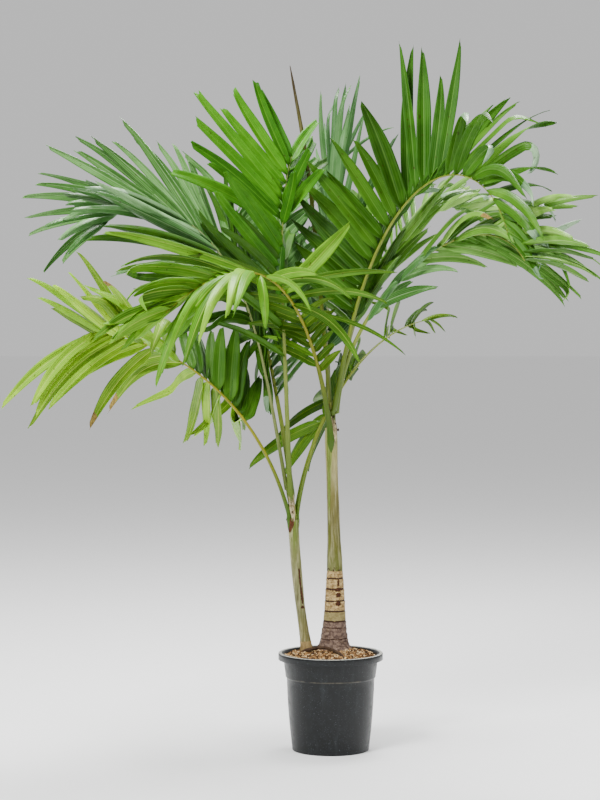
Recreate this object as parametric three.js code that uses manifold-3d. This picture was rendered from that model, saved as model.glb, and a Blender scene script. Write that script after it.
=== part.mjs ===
// Potted christmas palm with two stems, in a black nursery pot.
// Millimetres, +Z up. The origin is at the centre of the pot's flat underside, and the plant's best side faces -Y.
import * as THREE from 'three';
import Module from 'manifold-3d';

const wasm = await Module();
wasm.setup();

// Clear space left between two pieces that touch
const GAP = 0.3;

// Pot: outer radii and heights
const POT = {
  height: 262, wall: 2.8, floor: 4, footRadius: 103, footRound: 4, footInset: 3,
  bodyTopRadius: 117.5, bodyBulge: 2.5, stepBottom: 195, stepTop: 199, stepRadius: 120.5,
  neckTop: 241, neckRadius: 126, rimRadius: 140, rimBottom: 244, rimWall: 2.6, rimRound: 1.5,
};
const ROUND_SIDES = 32;

// Soil: level top round the stems, sloping down to the pot's wall
const SOIL = { top: 264, edge: 252, levelRadius: 88 };

// Main stem: centre line, and radius at each height, from the soil to the top of its green sheath
const MAIN = {
  ringed: [
    { z: SOIL.top, x: 7.5, y: 60, r: 46 }, { z: 270, x: 8, y: 60, r: 40.5 }, { z: 282, x: 9, y: 60, r: 36.5 },
    { z: 300, x: 10, y: 60, r: 34.5 }, { z: 316, x: 10.6, y: 59.8, r: 32.8 }, { z: 334, x: 11.2, y: 59.6, r: 31 },
    { z: 363, x: 11.8, y: 59.2, r: 28.5 }, { z: 392, x: 12, y: 58.8, r: 27 }, { z: 424, x: 12, y: 58.4, r: 25 },
    { z: 450, x: 12, y: 58, r: 23.3 }, { z: 470, x: 11.8, y: 57.8, r: 21.8 },
  ],
  sheath: [
    { z: 470, x: 11.8, y: 57.8, r: 21.4 }, { z: 512, x: 11.2, y: 57.4, r: 20.6 }, { z: 552, x: 10, y: 57, r: 18 },
    { z: 605, x: 8.6, y: 56.5, r: 17 }, { z: 659, x: 7, y: 56, r: 16.4 }, { z: 712, x: 5, y: 55.6, r: 15.8 },
    { z: 765, x: 3.2, y: 55.3, r: 16.2 }, { z: 818, x: 1.8, y: 55, r: 17 }, { z: 860, x: 1, y: 55, r: 16 },
  ],
  bud: [
    { z: 860, x: 1, y: 55, r: 13 }, { z: 885, x: 0.5, y: 55.2, r: 10.5 }, { z: 912, x: -1, y: 55.6, r: 7 },
    { z: 930, x: -2.6, y: 56, r: 4 },
  ],
  flareLobes: 5, flareDepth: 0.07, flareTop: 316,
};

// Thin stem: it leans to the left, and its leaves part at a joint half way up
const THIN = {
  foot: [
    { z: SOIL.top, x: -63.5, y: 15, r: 19 }, { z: 272, x: -64.4, y: 14.8, r: 17 }, { z: 290, x: -67, y: 14, r: 15 },
    { z: 312, x: -70.5, y: 13, r: 13.6 },
  ],
  sheath: [
    { z: 312, x: -70.5, y: 13, r: 13.4 }, { z: 350, x: -76, y: 11.4, r: 12.6 }, { z: 393, x: -82, y: 9.4, r: 12.4 },
    { z: 445, x: -87.6, y: 7, r: 13.6 }, { z: 500, x: -92.4, y: 4.6, r: 14.2 }, { z: 552, x: -96.4, y: 2.4, r: 13.8 },
    { z: 600, x: -99.4, y: 0.8, r: 14.4 }, { z: 619, x: -100.4, y: 0.3, r: 13.6 },
  ],
  bud: [
    { z: 619, x: -100.4, y: 0.3, r: 10.5 }, { z: 655, x: -103.8, y: 0.2, r: 9.2 }, { z: 690, x: -107.4, y: 0, r: 8 },
    { z: 722, x: -110.4, y: 0, r: 4.6 },
  ],
  flareLobes: 4, flareDepth: 0.05, flareTop: 290,
};
const STEM_SIDES = 20;

// Spear: the newest leaf of the main stem, still rolled up
const SPEAR = {
  sides: 8,
  path: [
    { z: 930, x: -2.6, y: 56, r: 3.6 }, { z: 1100, x: -17, y: 56.5, r: 5 }, { z: 1300, x: -34, y: 57, r: 5.6 },
    { z: 1520, x: -56, y: 58, r: 5.4 }, { z: 1665, x: -79, y: 59, r: 5 }, { z: 1780, x: -100, y: 60, r: 3.6 },
    { z: 1830, x: -109, y: 60, r: 0 },
  ],
};

// Root: a woody loop that stands on the soil in front of the stems
const ROOT = {
  sides: 8, radius: 3.8, tipRadius: 3,
  path: [[-80, -6, 258], [-72, -10, 267], [-52, -14, 273], [-34, -18, 277], [-13, -22, 277], [3, -32, 274],
    [15, -52, 270.5], [26, -76, 267], [34, -92, 257]],
};

// Leaves of the palm. Angles are in degrees, heading 0 is +X and 90 is +Y. A midrib of the given reach starts at a
// rise above level, falls by drop along it (late where bend is large), and turns by sway and curl.
// The leaflets stand off the midrib by spread, from the first to the last, lift above the leaf's plane, and droop.
const FRONDS = [
  { name: 'tall_right', start: [9, 50, 908], heading: -26, rise: 78, drop: 148, bend: 2.04, sway: -33, curl: 42,
    reach: 1154, stalk: 0.28, roll: 25, twist: -20, spread: [60, 26], lift: [46, 44], droop: 0.05, leaflet: 385,
    firstShare: 0.72, lastShare: 0.36, pairs: 19, width: 30, split: 10, stalkRadius: 6.5, colour: '#2f6318' },
  { name: 'front_left', start: [1, 46, 832], heading: -121, rise: 78, drop: 117, bend: 1.07, sway: -18, curl: -63,
    reach: 1096, stalk: 0.23, roll: -14, twist: 40, spread: [70, 20], lift: [18, 22], droop: 1.05, leaflet: 420,
    firstShare: 0.46, lastShare: 0.36, pairs: 18, width: 29, split: 9, stalkRadius: 6.5, colour: '#8fb23a' },
  { name: 'upright', start: [-109, -6, 700], heading: 72, rise: 97, drop: 27, bend: 3.82, sway: -30, curl: -41,
    reach: 894, stalk: 0.38, roll: 33, twist: 60, spread: [50, 27], lift: [24, 34], droop: 0.85, leaflet: 510,
    firstShare: 0.62, lastShare: 0.38, pairs: 17, width: 28, split: 0, stalkRadius: 5.2, colour: '#3f8412' },
  { name: 'low_left', start: [-108, -3, 622], heading: -168, rise: 75, drop: 69, bend: 1.17, sway: 17, curl: 44,
    reach: 783, stalk: 0.42, roll: -3, twist: -50, spread: [74, 28], lift: [0, 0], droop: 0.65, leaflet: 520,
    firstShare: 0.7, lastShare: 0.3, pairs: 16, width: 29, split: 8, stalkRadius: 5.4, colour: '#86b03a' },
  { name: 'far_left', start: [-117, 4, 700], heading: 173, rise: 80, drop: 123, bend: 3.48, sway: 31, curl: 20,
    reach: 1023, stalk: 0.34, roll: 35, twist: -26, spread: [60, 20], lift: [0, -8], droop: 0.12, leaflet: 500,
    firstShare: 0.6, lastShare: 0.34, pairs: 19, width: 26, split: 10, stalkRadius: 5.2, colour: '#3c6f3a' },
  { name: 'far_right', start: [16, 63, 900], heading: -24, rise: 86, drop: 114, bend: 0.93, sway: -55, curl: -9,
    reach: 1066, stalk: 0.32, roll: 15, twist: 0, spread: [46, 18], lift: [22, 10], droop: 0.5, leaflet: 385,
    firstShare: 0.5, lastShare: 0.5, pairs: 18, width: 28, split: 9, stalkRadius: 6, colour: '#5f9a3c' },
  { name: 'back_upright', start: [-4, 66, 915], heading: 92, rise: 46, drop: 0, bend: 1.6, sway: -4, curl: 7,
    reach: 918, stalk: 0.31, roll: 50, twist: 34, spread: [59, 38], lift: [13, 15], droop: 0.95, leaflet: 480,
    firstShare: 0.55, lastShare: 0.5, pairs: 14, width: 28, split: 0, stalkRadius: 5.6, colour: '#6f9a72' },
  { name: 'back_right', start: [4, 76, 890], heading: 38, rise: 75, drop: 92, bend: 2.1, sway: 0, curl: -5,
    reach: 870, stalk: 0.34, roll: 5, twist: 0, spread: [58, 26], lift: [14, 16], droop: 0.4, leaflet: 400,
    firstShare: 0.6, lastShare: 0.45, pairs: 15, width: 28, split: 0, stalkRadius: 5.4, colour: '#7da67c' },
  { name: 'back_centre', start: [-105, 6, 698], heading: 118, rise: 76, drop: 32, bend: 0.8, sway: -14, curl: 2,
    reach: 890, stalk: 0.35, roll: -45, twist: 24, spread: [60, 20], lift: [-5, 14], droop: 0.3, leaflet: 400,
    firstShare: 0.6, lastShare: 0.5, pairs: 14, width: 28, split: 0, stalkRadius: 5.2, colour: '#356b2c' },
  { name: 'low_back', start: [-93, 6, 622], heading: 51, rise: 79, drop: 76, bend: 0.9, sway: 1, curl: -6,
    reach: 890, stalk: 0.46, roll: 20, twist: 20, spread: [70, 32], lift: [20, 14], droop: 1.0, leaflet: 410,
    firstShare: 0.5, lastShare: 0.35, pairs: 12, width: 27, split: 0, stalkRadius: 5.4, colour: '#4c6f1f' },
];
const RIB = { steps: 60, sides: 3, bladeRadius: 5.6, tipRadius: 2.6, stride: 2.5, flatness: 0.9 };
const LEAFLET = {
  steps: 12, peak: 0.38, cant: 34, thickness: 0.0115, stagger: 0.25, unevenAngle: 7, unevenLift: 9, unevenLength: 0.08,
  straight: { droop: 0.7, widths: new Map([[0, 0.14], [5, 1], [12, 0]]) },
  bent: { widths: new Map([[0, 0.14], [4, 1], [8, 0.8], [12, 0]]) },
  turns: [0, 7, -7, 14, -14], lengths: [1, 0.82, 0.64],
};

// Facets smaller than this, left where leaflets join their rib, are merged
const JOIN_DETAIL = 0.25;

const rad = THREE.MathUtils.degToRad;
const vec = (p) => new THREE.Vector3(...p);

// A repeatable uneven number from -1 to 1
function uneven(seed, salt) {
  const wave = Math.sin(seed * 127.1 + salt * 311.7) * 43758.5453;
  return 2 * (wave - Math.floor(wave)) - 1;
}

// Closed mesh through rings of points that run round to the left of the way it goes; one point makes a tip
function loft(rings) {
  const points = [];
  const faces = [];
  const first = [];
  for (const ring of rings) {
    first.push(points.length);
    points.push(...ring);
  }
  for (let k = 0; k + 1 < rings.length; k++) {
    const count = rings[k].length;
    for (let i = 0; i < count; i++) {
      const here = first[k] + i;
      const next = first[k] + ((i + 1) % count);
      if (rings[k + 1].length === 1) {
        faces.push([here, next, first[k + 1]]);
      } else {
        const over = first[k + 1] + i;
        const overNext = first[k + 1] + ((i + 1) % count);
        faces.push([here, next, overNext], [here, overNext, over]);
      }
    }
  }
  const last = rings.length - 1;
  for (let i = 1; i + 1 < rings[0].length; i++) faces.push([first[0], first[0] + i + 1, first[0] + i]);
  for (let i = 1; i + 1 < rings[last].length; i++) faces.push([first[last], first[last] + i, first[last] + i + 1]);
  return new wasm.Manifold(new wasm.Mesh({
    numProp: 3,
    vertProperties: Float32Array.from(points.flatMap((p) => [p.x, p.y, p.z])),
    triVerts: Uint32Array.from(faces.flat()),
  }));
}

// Three.js geometry as a solid for joins and cuts
function solidOf(geometry) {
  const merged = [];
  const index = [];
  const seen = new Map();
  const position = geometry.attributes.position;
  const order = geometry.index ? geometry.index.array : position.array.map((_, i) => i);
  for (const i of order) {
    const key = [position.getX(i), position.getY(i), position.getZ(i)].map((c) => Math.round(c * 1000)).join();
    if (!seen.has(key)) {
      seen.set(key, merged.length / 3);
      merged.push(position.getX(i), position.getY(i), position.getZ(i));
    }
    index.push(seen.get(key));
  }
  const faces = [];
  for (let i = 0; i < index.length; i += 3) {
    const [a, b, c] = index.slice(i, i + 3);
    if (a !== b && b !== c && c !== a) faces.push(a, b, c);
  }
  return new wasm.Manifold(new wasm.Mesh({
    numProp: 3, vertProperties: Float32Array.from(merged), triVerts: Uint32Array.from(faces),
  }));
}

// Named mesh of a solid, in its own colour
const palm = new THREE.Group();
function addPiece(name, solid, colour, roughness) {
  const mesh = solid.getMesh();
  const geometry = new THREE.BufferGeometry();
  geometry.setAttribute('position', new THREE.BufferAttribute(Float32Array.from(mesh.vertProperties), 3));
  geometry.setIndex(new THREE.BufferAttribute(Uint32Array.from(mesh.triVerts), 1));
  geometry.computeVertexNormals();
  const piece = new THREE.Mesh(geometry, new THREE.MeshStandardMaterial({ color: colour, roughness, metalness: 0 }));
  piece.name = name;
  palm.add(piece);
}

// The largest piece of a solid that a cut may have parted
function largest(solid) {
  return solid.decompose().reduce((a, b) => (a.volume() >= b.volume() ? a : b));
}

// Turned solid: a closed outline of [radius, height] pairs, spun round the upright axis
function turned(outline) {
  const points = outline.map(([r, z]) => new THREE.Vector2(r, z));
  return solidOf(new THREE.LatheGeometry(points, ROUND_SIDES).rotateX(Math.PI / 2));
}

// Heights at which the pot's body has a point
const BODY_HEIGHTS = [POT.footRound, 50, 100, 150, POT.stepBottom];

// Radius of the pot's outside at a height up to its step
function potBody(z) {
  const share = (z - POT.footRound) / (POT.stepBottom - POT.footRound);
  return POT.footRadius + (POT.bodyTopRadius - POT.footRadius) * share + POT.bodyBulge * Math.sin(Math.PI * share);
}

// Radius of the pot's inside at a height
function potInside(z) {
  if (z <= POT.stepBottom) return potBody(Math.max(z, POT.footRound)) - POT.wall;
  const share = (z - POT.stepTop) / (POT.neckTop - POT.stepTop);
  return POT.stepRadius + (POT.neckRadius - POT.stepRadius) * Math.max(0, share) - POT.wall;
}

function makePot() {
  const skirtInside = POT.rimRadius - POT.rimWall;
  const outline = [
    [0, 0], [POT.footRadius - POT.footInset, 0],
    ...BODY_HEIGHTS.map((z) => [potBody(z), z]),
    [POT.stepRadius, POT.stepTop], [POT.neckRadius, POT.neckTop],
    [POT.neckRadius, POT.height - 2 * POT.rimWall], [skirtInside, POT.height - 2 * POT.rimWall],
    [skirtInside, POT.rimBottom], [POT.rimRadius, POT.rimBottom], [POT.rimRadius, POT.height - POT.rimRound],
    [POT.rimRadius - POT.rimRound, POT.height], [potInside(POT.height) + POT.rimRound, POT.height],
    [potInside(POT.neckTop), POT.neckTop], [potInside(POT.stepTop), POT.stepTop],
    ...BODY_HEIGHTS.slice().reverse().map((z) => [potInside(z), Math.max(z, POT.floor)]),
    [0, POT.floor], [0, 0],
  ];
  addPiece('pot', turned(outline), '#343636', 0.55);
}

function makeSoil() {
  const heights = [...BODY_HEIGHTS, POT.stepTop, SOIL.edge];
  const outline = [
    [0, POT.floor + GAP],
    ...heights.map((z) => [potInside(z) - 2 * GAP, Math.max(z, POT.floor + GAP)]),
    [SOIL.levelRadius, SOIL.top], [0, SOIL.top], [0, POT.floor + GAP],
  ];
  addPiece('soil', turned(outline), '#8a5f3c', 0.95);
}

// Round ring of a stem, lobed at the root flare
function stemRing(stage, sides, lobes = 0, depth = 0) {
  const ring = [];
  for (let i = 0; i < sides; i++) {
    const turn = (2 * Math.PI * i) / sides;
    const r = stage.r * (1 + depth * Math.cos(lobes * turn));
    ring.push(new THREE.Vector3(stage.x + r * Math.cos(turn), stage.y + r * Math.sin(turn), stage.z));
  }
  return ring;
}

// Part of a stem, from just above its lowest stage
function stemSolid(stages, stem, clearance = 0) {
  const rings = stages.map((stage, k) => {
    const grown = { ...stage, z: k === 0 && !clearance ? stage.z + GAP : stage.z, r: stage.r + clearance };
    const fade = Math.max(0, (stem.flareTop - stage.z) / (stem.flareTop - SOIL.top));
    return stemRing(grown, STEM_SIDES, stem.flareLobes, stem.flareDepth * fade);
  });
  return loft(rings);
}

// Midrib of a leaf, and the frame of its blade at any share of its length
function midrib(frond) {
  const at = (t) => {
    const up = rad(frond.rise - frond.drop * t ** frond.bend);
    const turn = rad(frond.heading + frond.sway * t + frond.curl * (t * t - t));
    const along = vec([Math.cos(up) * Math.cos(turn), Math.cos(up) * Math.sin(turn), Math.sin(up)]);
    const right = vec([Math.sin(turn), -Math.cos(turn), 0]);
    return { along, right, top: right.clone().cross(along) };
  };
  const points = [vec(frond.start)];
  for (let k = 0; k < RIB.steps; k++) {
    const { along } = at((k + 0.5) / RIB.steps);
    points.push(points[k].clone().addScaledVector(along, frond.reach / RIB.steps));
  }
  const place = (t) => {
    const step = Math.min(t * RIB.steps, RIB.steps - 1e-6);
    const k = Math.floor(step);
    return points[k].clone().lerp(points[k + 1], step - k);
  };
  return { at, place };
}

// Tapering rib between two shares of the midrib
function ribSolid(frond, rib, from, to, radiusFrom, radiusTo, clearance = 0) {
  const steps = Math.max(2, Math.round(((to - from) * RIB.steps) / RIB.stride));
  const rings = [];
  for (let k = 0; k <= steps; k++) {
    const share = k / steps;
    const t = from + (to - from) * share;
    const { right, top } = rib.at(t);
    const radius = radiusFrom + (radiusTo - radiusFrom) * share + clearance;
    const centre = rib.place(t);
    const ring = [];
    for (let i = 0; i < RIB.sides; i++) {
      const turn = (2 * Math.PI * i) / RIB.sides;
      ring.push(centre.clone()
        .addScaledVector(top, radius * RIB.flatness * Math.cos(turn))
        .addScaledVector(right, radius * Math.sin(turn)));
    }
    rings.push(ring);
  }
  return loft(rings);
}

// Length of a leaflet for its share u of the way from the first to the last
function leafletShare(frond, u) {
  const { peak } = LEAFLET;
  if (u < peak) return frond.firstShare + (1 - frond.firstShare) * Math.sin(((Math.PI / 2) * u) / peak);
  return frond.lastShare + (1 - frond.lastShare) * Math.cos(((Math.PI / 2) * (u - peak)) / (1 - peak));
}

// One leaflet: a thin blade with a ridge, narrow at its root, curved down under its weight
function leafletSolid(frond, rib, number, side, extraLift, lengthShare) {
  const u = (number + 0.5 + side * LEAFLET.stagger) / frond.pairs;
  const t = frond.stalk + (1 - frond.stalk) * u;
  const seed = number * 2 + (side > 0 ? 0 : 1) + frond.reach;
  const { along, right, top } = rib.at(t);
  const roll = rad(frond.roll + frond.twist * u);
  const flat = right.clone().multiplyScalar(Math.cos(roll)).addScaledVector(top, Math.sin(roll));
  const raised = top.clone().multiplyScalar(Math.cos(roll)).addScaledVector(right, -Math.sin(roll));
  const spread = rad(THREE.MathUtils.lerp(...frond.spread, u) + LEAFLET.unevenAngle * uneven(seed, 1));
  const lift = rad(frond.lift[side > 0 ? 0 : 1] + LEAFLET.unevenLift * uneven(seed, 2) + extraLift);
  const set = along.clone().multiplyScalar(Math.cos(spread))
    .addScaledVector(flat, side * Math.sin(spread) * Math.cos(lift))
    .addScaledVector(raised, Math.sin(spread) * Math.sin(lift));
  const length = frond.leaflet * leafletShare(frond, u) * (1 + LEAFLET.unevenLength * uneven(seed, 3)) * lengthShare;
  const { widths } = frond.droop < LEAFLET.straight.droop ? LEAFLET.straight : LEAFLET.bent;
  const rings = [];
  const centre = rib.place(t);
  const across = along.clone().multiplyScalar(side * Math.cos(rad(LEAFLET.cant)))
    .addScaledVector(raised, side * Math.sin(rad(LEAFLET.cant)));
  for (let k = 0; k <= LEAFLET.steps; k++) {
    const weight = frond.droop * ((k + 0.5) / LEAFLET.steps) ** 1.5;
    const way = set.clone().add(vec([0, 0, -weight])).normalize();
    across.addScaledVector(way, -across.dot(way)).normalize();
    if (widths.has(k)) {
      const half = 0.5 * frond.width * widths.get(k);
      const ridge = way.clone().cross(across).multiplyScalar(length * LEAFLET.thickness);
      if (half === 0) rings.push([centre.clone()]);
      else {
        rings.push([
          centre.clone().addScaledVector(across, half),
          centre.clone().add(ridge),
          centre.clone().addScaledVector(across, -half),
        ]);
      }
    }
    centre.addScaledVector(way, length / LEAFLET.steps);
  }
  return loft(rings);
}

// True where two boxes come within the gap of each other
function boxesMeet(a, b) {
  return [0, 1, 2].every((i) => a.min[i] - GAP < b.max[i] && b.min[i] - GAP < a.max[i]);
}

// Solids that leaves have to stay clear of, each with its box and the piece that it belongs to
const placed = [];
function keepClear(solid, owner) {
  placed.push({ solid, owner, box: solid.boundingBox() });
}
function isClear(solid, owner) {
  const box = solid.boundingBox();
  return placed.every((other) => other.owner === owner || !boxesMeet(box, other.box)
    || solid.minGap(other.solid, 2 * GAP) >= GAP);
}

makePot();
makeSoil();

// Stems
const mainRinged = stemSolid(MAIN.ringed, MAIN);
const mainSheath = stemSolid(MAIN.sheath, MAIN);
const mainBud = stemSolid(MAIN.bud, MAIN);
const thinFoot = stemSolid(THIN.foot, THIN);
const thinSheath = stemSolid(THIN.sheath, THIN);
const thinBud = stemSolid(THIN.bud, THIN);
const spear = loft(SPEAR.path.map((stage, k) => (stage.r === 0
  ? [vec([stage.x, stage.y, stage.z])]
  : stemRing({ ...stage, z: k === 0 ? stage.z + GAP : stage.z }, SPEAR.sides))));
addPiece('main_stem', mainRinged, '#a88f6c', 0.8);
addPiece('main_sheath', mainSheath, '#9aa476', 0.6);
addPiece('main_bud', mainBud, '#7f9148', 0.6);
addPiece('thin_stem', thinFoot, '#b49a72', 0.8);
addPiece('thin_sheath', thinSheath, '#8c9468', 0.6);
addPiece('thin_bud', thinBud, '#6f8144', 0.6);
addPiece('spear', spear, '#7b7a38', 0.6);
for (const solid of [mainRinged, mainSheath, mainBud, thinFoot, thinSheath, thinBud, spear]) keepClear(solid, 'stems');

// Root loop, cut level where its feet meet the soil
function makeRoot() {
  const curve = new THREE.CatmullRomCurve3(ROOT.path.map(vec));
  const rings = [];
  const steps = 20;
  for (let k = 0; k <= steps; k++) {
    const centre = curve.getPoint(k / steps);
    const along = curve.getTangent(k / steps);
    const right = along.clone().cross(vec([0, 0, 1])).normalize();
    const top = right.clone().cross(along);
    const radius = THREE.MathUtils.lerp(ROOT.radius, ROOT.tipRadius, k / steps);
    const ring = [];
    for (let i = 0; i < ROOT.sides; i++) {
      const turn = (2 * Math.PI * i) / ROOT.sides;
      ring.push(centre.clone().addScaledVector(top, radius * Math.cos(turn))
        .addScaledVector(right, radius * Math.sin(turn)));
    }
    rings.push(ring);
  }
  const whole = loft(rings);
  addPiece('root_loop', largest(whole.trimByPlane([0, 0, 1], SOIL.top + GAP)), '#6d4f3a', 0.85);
}
makeRoot();

// Stalks and ribs of all leaves come first, each cut clear of the stems and of the stalks made before it
const grownStems = [
  stemSolid(MAIN.sheath, MAIN, GAP), stemSolid(MAIN.bud, MAIN, GAP),
  stemSolid(THIN.sheath, THIN, GAP), stemSolid(THIN.bud, THIN, GAP),
];
const grownStalks = [];
const blades = [];
for (const frond of FRONDS) {
  const rib = midrib(frond);
  const endGap = GAP / frond.reach;
  const ribRadius = (t) => THREE.MathUtils.lerp(RIB.bladeRadius, RIB.tipRadius,
    (t - frond.stalk) / (1 - frond.stalk));
  let stalk = ribSolid(frond, rib, 0, frond.stalk - endGap, frond.stalkRadius, RIB.bladeRadius);
  for (const other of [...grownStems, ...grownStalks]) stalk = stalk.subtract(other);
  stalk = largest(stalk);
  grownStalks.push(ribSolid(frond, rib, 0, frond.stalk, frond.stalkRadius, RIB.bladeRadius, GAP));
  addPiece(`frond_${frond.name}_stalk`, stalk, '#8a9140', 0.5);
  keepClear(stalk, `${frond.name}_stalk`);

  const cuts = frond.split ? [0, frond.split, frond.pairs] : [0, frond.pairs];
  for (let part = 0; part + 1 < cuts.length; part++) {
    const from = frond.stalk + ((1 - frond.stalk) * cuts[part]) / frond.pairs;
    const toGap = cuts[part + 1] < frond.pairs ? endGap : 0;
    const to = frond.stalk + ((1 - frond.stalk) * cuts[part + 1]) / frond.pairs - toGap;
    const suffix = frond.split ? ['inner', 'outer'][part] : 'blade';
    const core = ribSolid(frond, rib, from, to, ribRadius(from), ribRadius(to));
    const name = `frond_${frond.name}_${suffix}`;
    blades.push({ frond, rib, name, core, first: cuts[part], end: cuts[part + 1] });
    keepClear(core, name);
  }
}

// Leaflets join their rib; one that would touch another leaf is turned a little, then shortened, then left out
const choices = LEAFLET.lengths.flatMap((share) => LEAFLET.turns.map((turn) => [turn, share]));
for (const { frond, rib, name, core, first, end } of blades) {
  const leaflets = [];
  const parted = (leaflet) => leaflets.every((other) => leaflet.minGap(other, GAP) > 0);
  for (let number = first; number < end; number++) {
    for (const side of [1, -1]) {
      const clear = choices
        .map(([turn, share]) => [leafletSolid(frond, rib, number, side, turn, share), share])
        .filter(([leaflet]) => isClear(leaflet, name));
      if (clear.length === 0) continue;
      const longest = clear.filter(([, share]) => share === clear[0][1]).map(([leaflet]) => leaflet);
      leaflets.push(longest.find(parted) ?? longest[0]);
    }
  }
  for (const leaflet of leaflets) keepClear(leaflet, name);
  const joined = [core, ...leaflets];
  addPiece(name, wasm.Manifold.union(joined).simplify(JOIN_DETAIL), frond.colour, 0.45);
}

export default palm;
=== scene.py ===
import math
from functools import partial

import bpy
import numpy as np
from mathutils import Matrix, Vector, noise


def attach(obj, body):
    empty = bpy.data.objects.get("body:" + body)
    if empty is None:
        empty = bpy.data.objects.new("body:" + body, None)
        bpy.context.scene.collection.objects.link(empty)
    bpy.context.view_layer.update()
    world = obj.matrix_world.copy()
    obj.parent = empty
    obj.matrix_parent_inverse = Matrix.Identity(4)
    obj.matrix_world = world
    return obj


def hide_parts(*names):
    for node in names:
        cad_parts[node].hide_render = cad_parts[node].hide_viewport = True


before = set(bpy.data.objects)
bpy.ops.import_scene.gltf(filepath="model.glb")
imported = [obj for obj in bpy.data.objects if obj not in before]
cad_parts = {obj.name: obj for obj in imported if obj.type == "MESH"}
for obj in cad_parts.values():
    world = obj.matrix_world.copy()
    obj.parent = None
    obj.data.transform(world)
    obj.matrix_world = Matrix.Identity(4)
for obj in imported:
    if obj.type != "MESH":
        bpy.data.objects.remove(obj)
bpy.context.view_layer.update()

MM = 0.001

# Pot: outer radii and heights
POT = dict(height=262, wall=2.8, floor=4, foot_radius=103, foot_round=4, foot_inset=3, body_top_radius=117.5,
           body_bulge=2.5, step_bottom=195, step_top=199, step_radius=120.5, neck_top=241, neck_radius=126,
           rim_radius=140, rim_bottom=244, rim_wall=2.6)
POT_SIDES = 128

# Soil: level top round the stems, sloping down to the pot's wall
SOIL = dict(top=264, edge=252, level_radius=88, rings=44)

# Chips of bark on the soil: how many, how far out they lie, their least size and how much more they grow, and the
# places of the stems that they keep clear of, as x, y and radius
CHIPS = dict(count=3000, reach=121, smallest=1.7, larger=2.4, clear_of=[(8, 60, 40), (-64, 15, 17)])

# Stems: height, centre x, centre y and radius of each stage
MAIN_RINGED = [(264, 7.5, 60, 46), (270, 8, 60, 40.5), (282, 9, 60, 36.5), (300, 10, 60, 34.5),
               (316, 10.6, 59.8, 32.8), (334, 11.2, 59.6, 31), (363, 11.8, 59.2, 28.5), (392, 12, 58.8, 27),
               (424, 12, 58.4, 25), (450, 12, 58, 23.3), (470, 11.8, 57.8, 21.8)]
MAIN_SHEATH = [(470, 11.8, 57.8, 21.4), (512, 11.2, 57.4, 20.6), (552, 10, 57, 18), (605, 8.6, 56.5, 17),
               (659, 7, 56, 16.4), (712, 5, 55.6, 15.8), (765, 3.2, 55.3, 16.2), (818, 1.8, 55, 17), (860, 1, 55, 16)]
MAIN_BUD = [(860, 1, 55, 13), (885, 0.5, 55.2, 10.5), (912, -1, 55.6, 7), (930, -2.6, 56, 4)]
THIN_FOOT = [(264, -63.5, 15, 19), (272, -64.4, 14.8, 17), (290, -67, 14, 15), (312, -70.5, 13, 13.6)]
THIN_SHEATH = [(312, -70.5, 13, 13.4), (350, -76, 11.4, 12.6), (393, -82, 9.4, 12.4), (445, -87.6, 7, 13.6),
               (500, -92.4, 4.6, 14.2), (552, -96.4, 2.4, 13.8), (600, -99.4, 0.8, 14.4), (619, -100.4, 0.3, 13.6)]
THIN_BUD = [(619, -100.4, 0.3, 10.5), (655, -103.8, 0.2, 9.2), (690, -107.4, 0, 8), (722, -110.4, 0, 4.6)]
SPEAR = [(930, -2.6, 56, 3.6), (1100, -17, 56.5, 5), (1300, -34, 57, 5.6), (1520, -56, 58, 5.4),
         (1665, -79, 59, 5), (1780, -100, 60, 3.6), (1828, -108.6, 60, 0.6)]

# Each stem from its sheath to its tip
MAIN_STEM = MAIN_SHEATH + MAIN_BUD[1:]
THIN_STEM = THIN_SHEATH + THIN_BUD[1:]

# Dry sheaths that cling to the stems: stem, lowest and highest point, turns from and to, how far the upper edge
# stands off, seed, and 0 for dead fibre or 1 for papery
TORN_SHEATHS = [(THIN_STEM, 584, 634, (182, 275), 3.0, 1, 0), (THIN_STEM, 612, 700, (232, 318), 1.5, 2, 1),
                (MAIN_STEM, 820, 925, (262, 350), 2.0, 3, 1), (MAIN_STEM, 880, 945, (200, 262), 1.5, 4, 0)]

# Stubs of old stalks: stem, height, turn and size
STUBS = [(MAIN_STEM, 912, 262, 2.6), (MAIN_STEM, 893, 268, 2.4), (MAIN_STEM, 891, 306, 3.0),
         (MAIN_STEM, 856, 335, 3.2), (MAIN_STEM, 872, 318, 2.0), (THIN_STEM, 619, 196, 2.6),
         (THIN_STEM, 640, 268, 2.2)]

# Heights of the dark scars that fallen leaves left round the main stem
LEAF_SCARS = [455, 427, 395, 367, 340, 322, 292]

# Dried wounds on the front of each stem: offset from its middle, lowest and highest point, half width
MAIN_WOUNDS = [(9, 435, 454, 2.8), (9, 420, 431, 9), (9, 405, 418, 6.2), (9, 382, 394, 7.4)]
THIN_WOUNDS = [(6.5, 436, 490, 2.3), (7, 391, 442, 2.8), (5.5, 379, 387, 4.2)]

# Main stem: where its bark ends, its tan skin begins, it is rough, its foot flares in lobes and its scars are thin
TRUNK = dict(bark_top=339, tan_from=366, rough_below=342, flare_below=316, lobes=5, thin_scars_below=330,
             wound_depth=0.9)

# Green stripe up the front of the main sheath: how far left of the middle, where it begins and is widest, half its
# width there, how soft its edge is, and how far back it goes
STRIPE = dict(left=3.5, foot=530, top=860, half_width=7.5, soft=2, back=54)

# Root: a woody loop that stands on the soil in front of the stems
ROOT_PATH = [(-80, -6, 258), (-72, -10, 267), (-52, -14, 273), (-34, -18, 277), (-13, -22, 277), (3, -32, 274),
             (15, -52, 270.5), (26, -76, 267), (34, -92, 257)]

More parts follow.
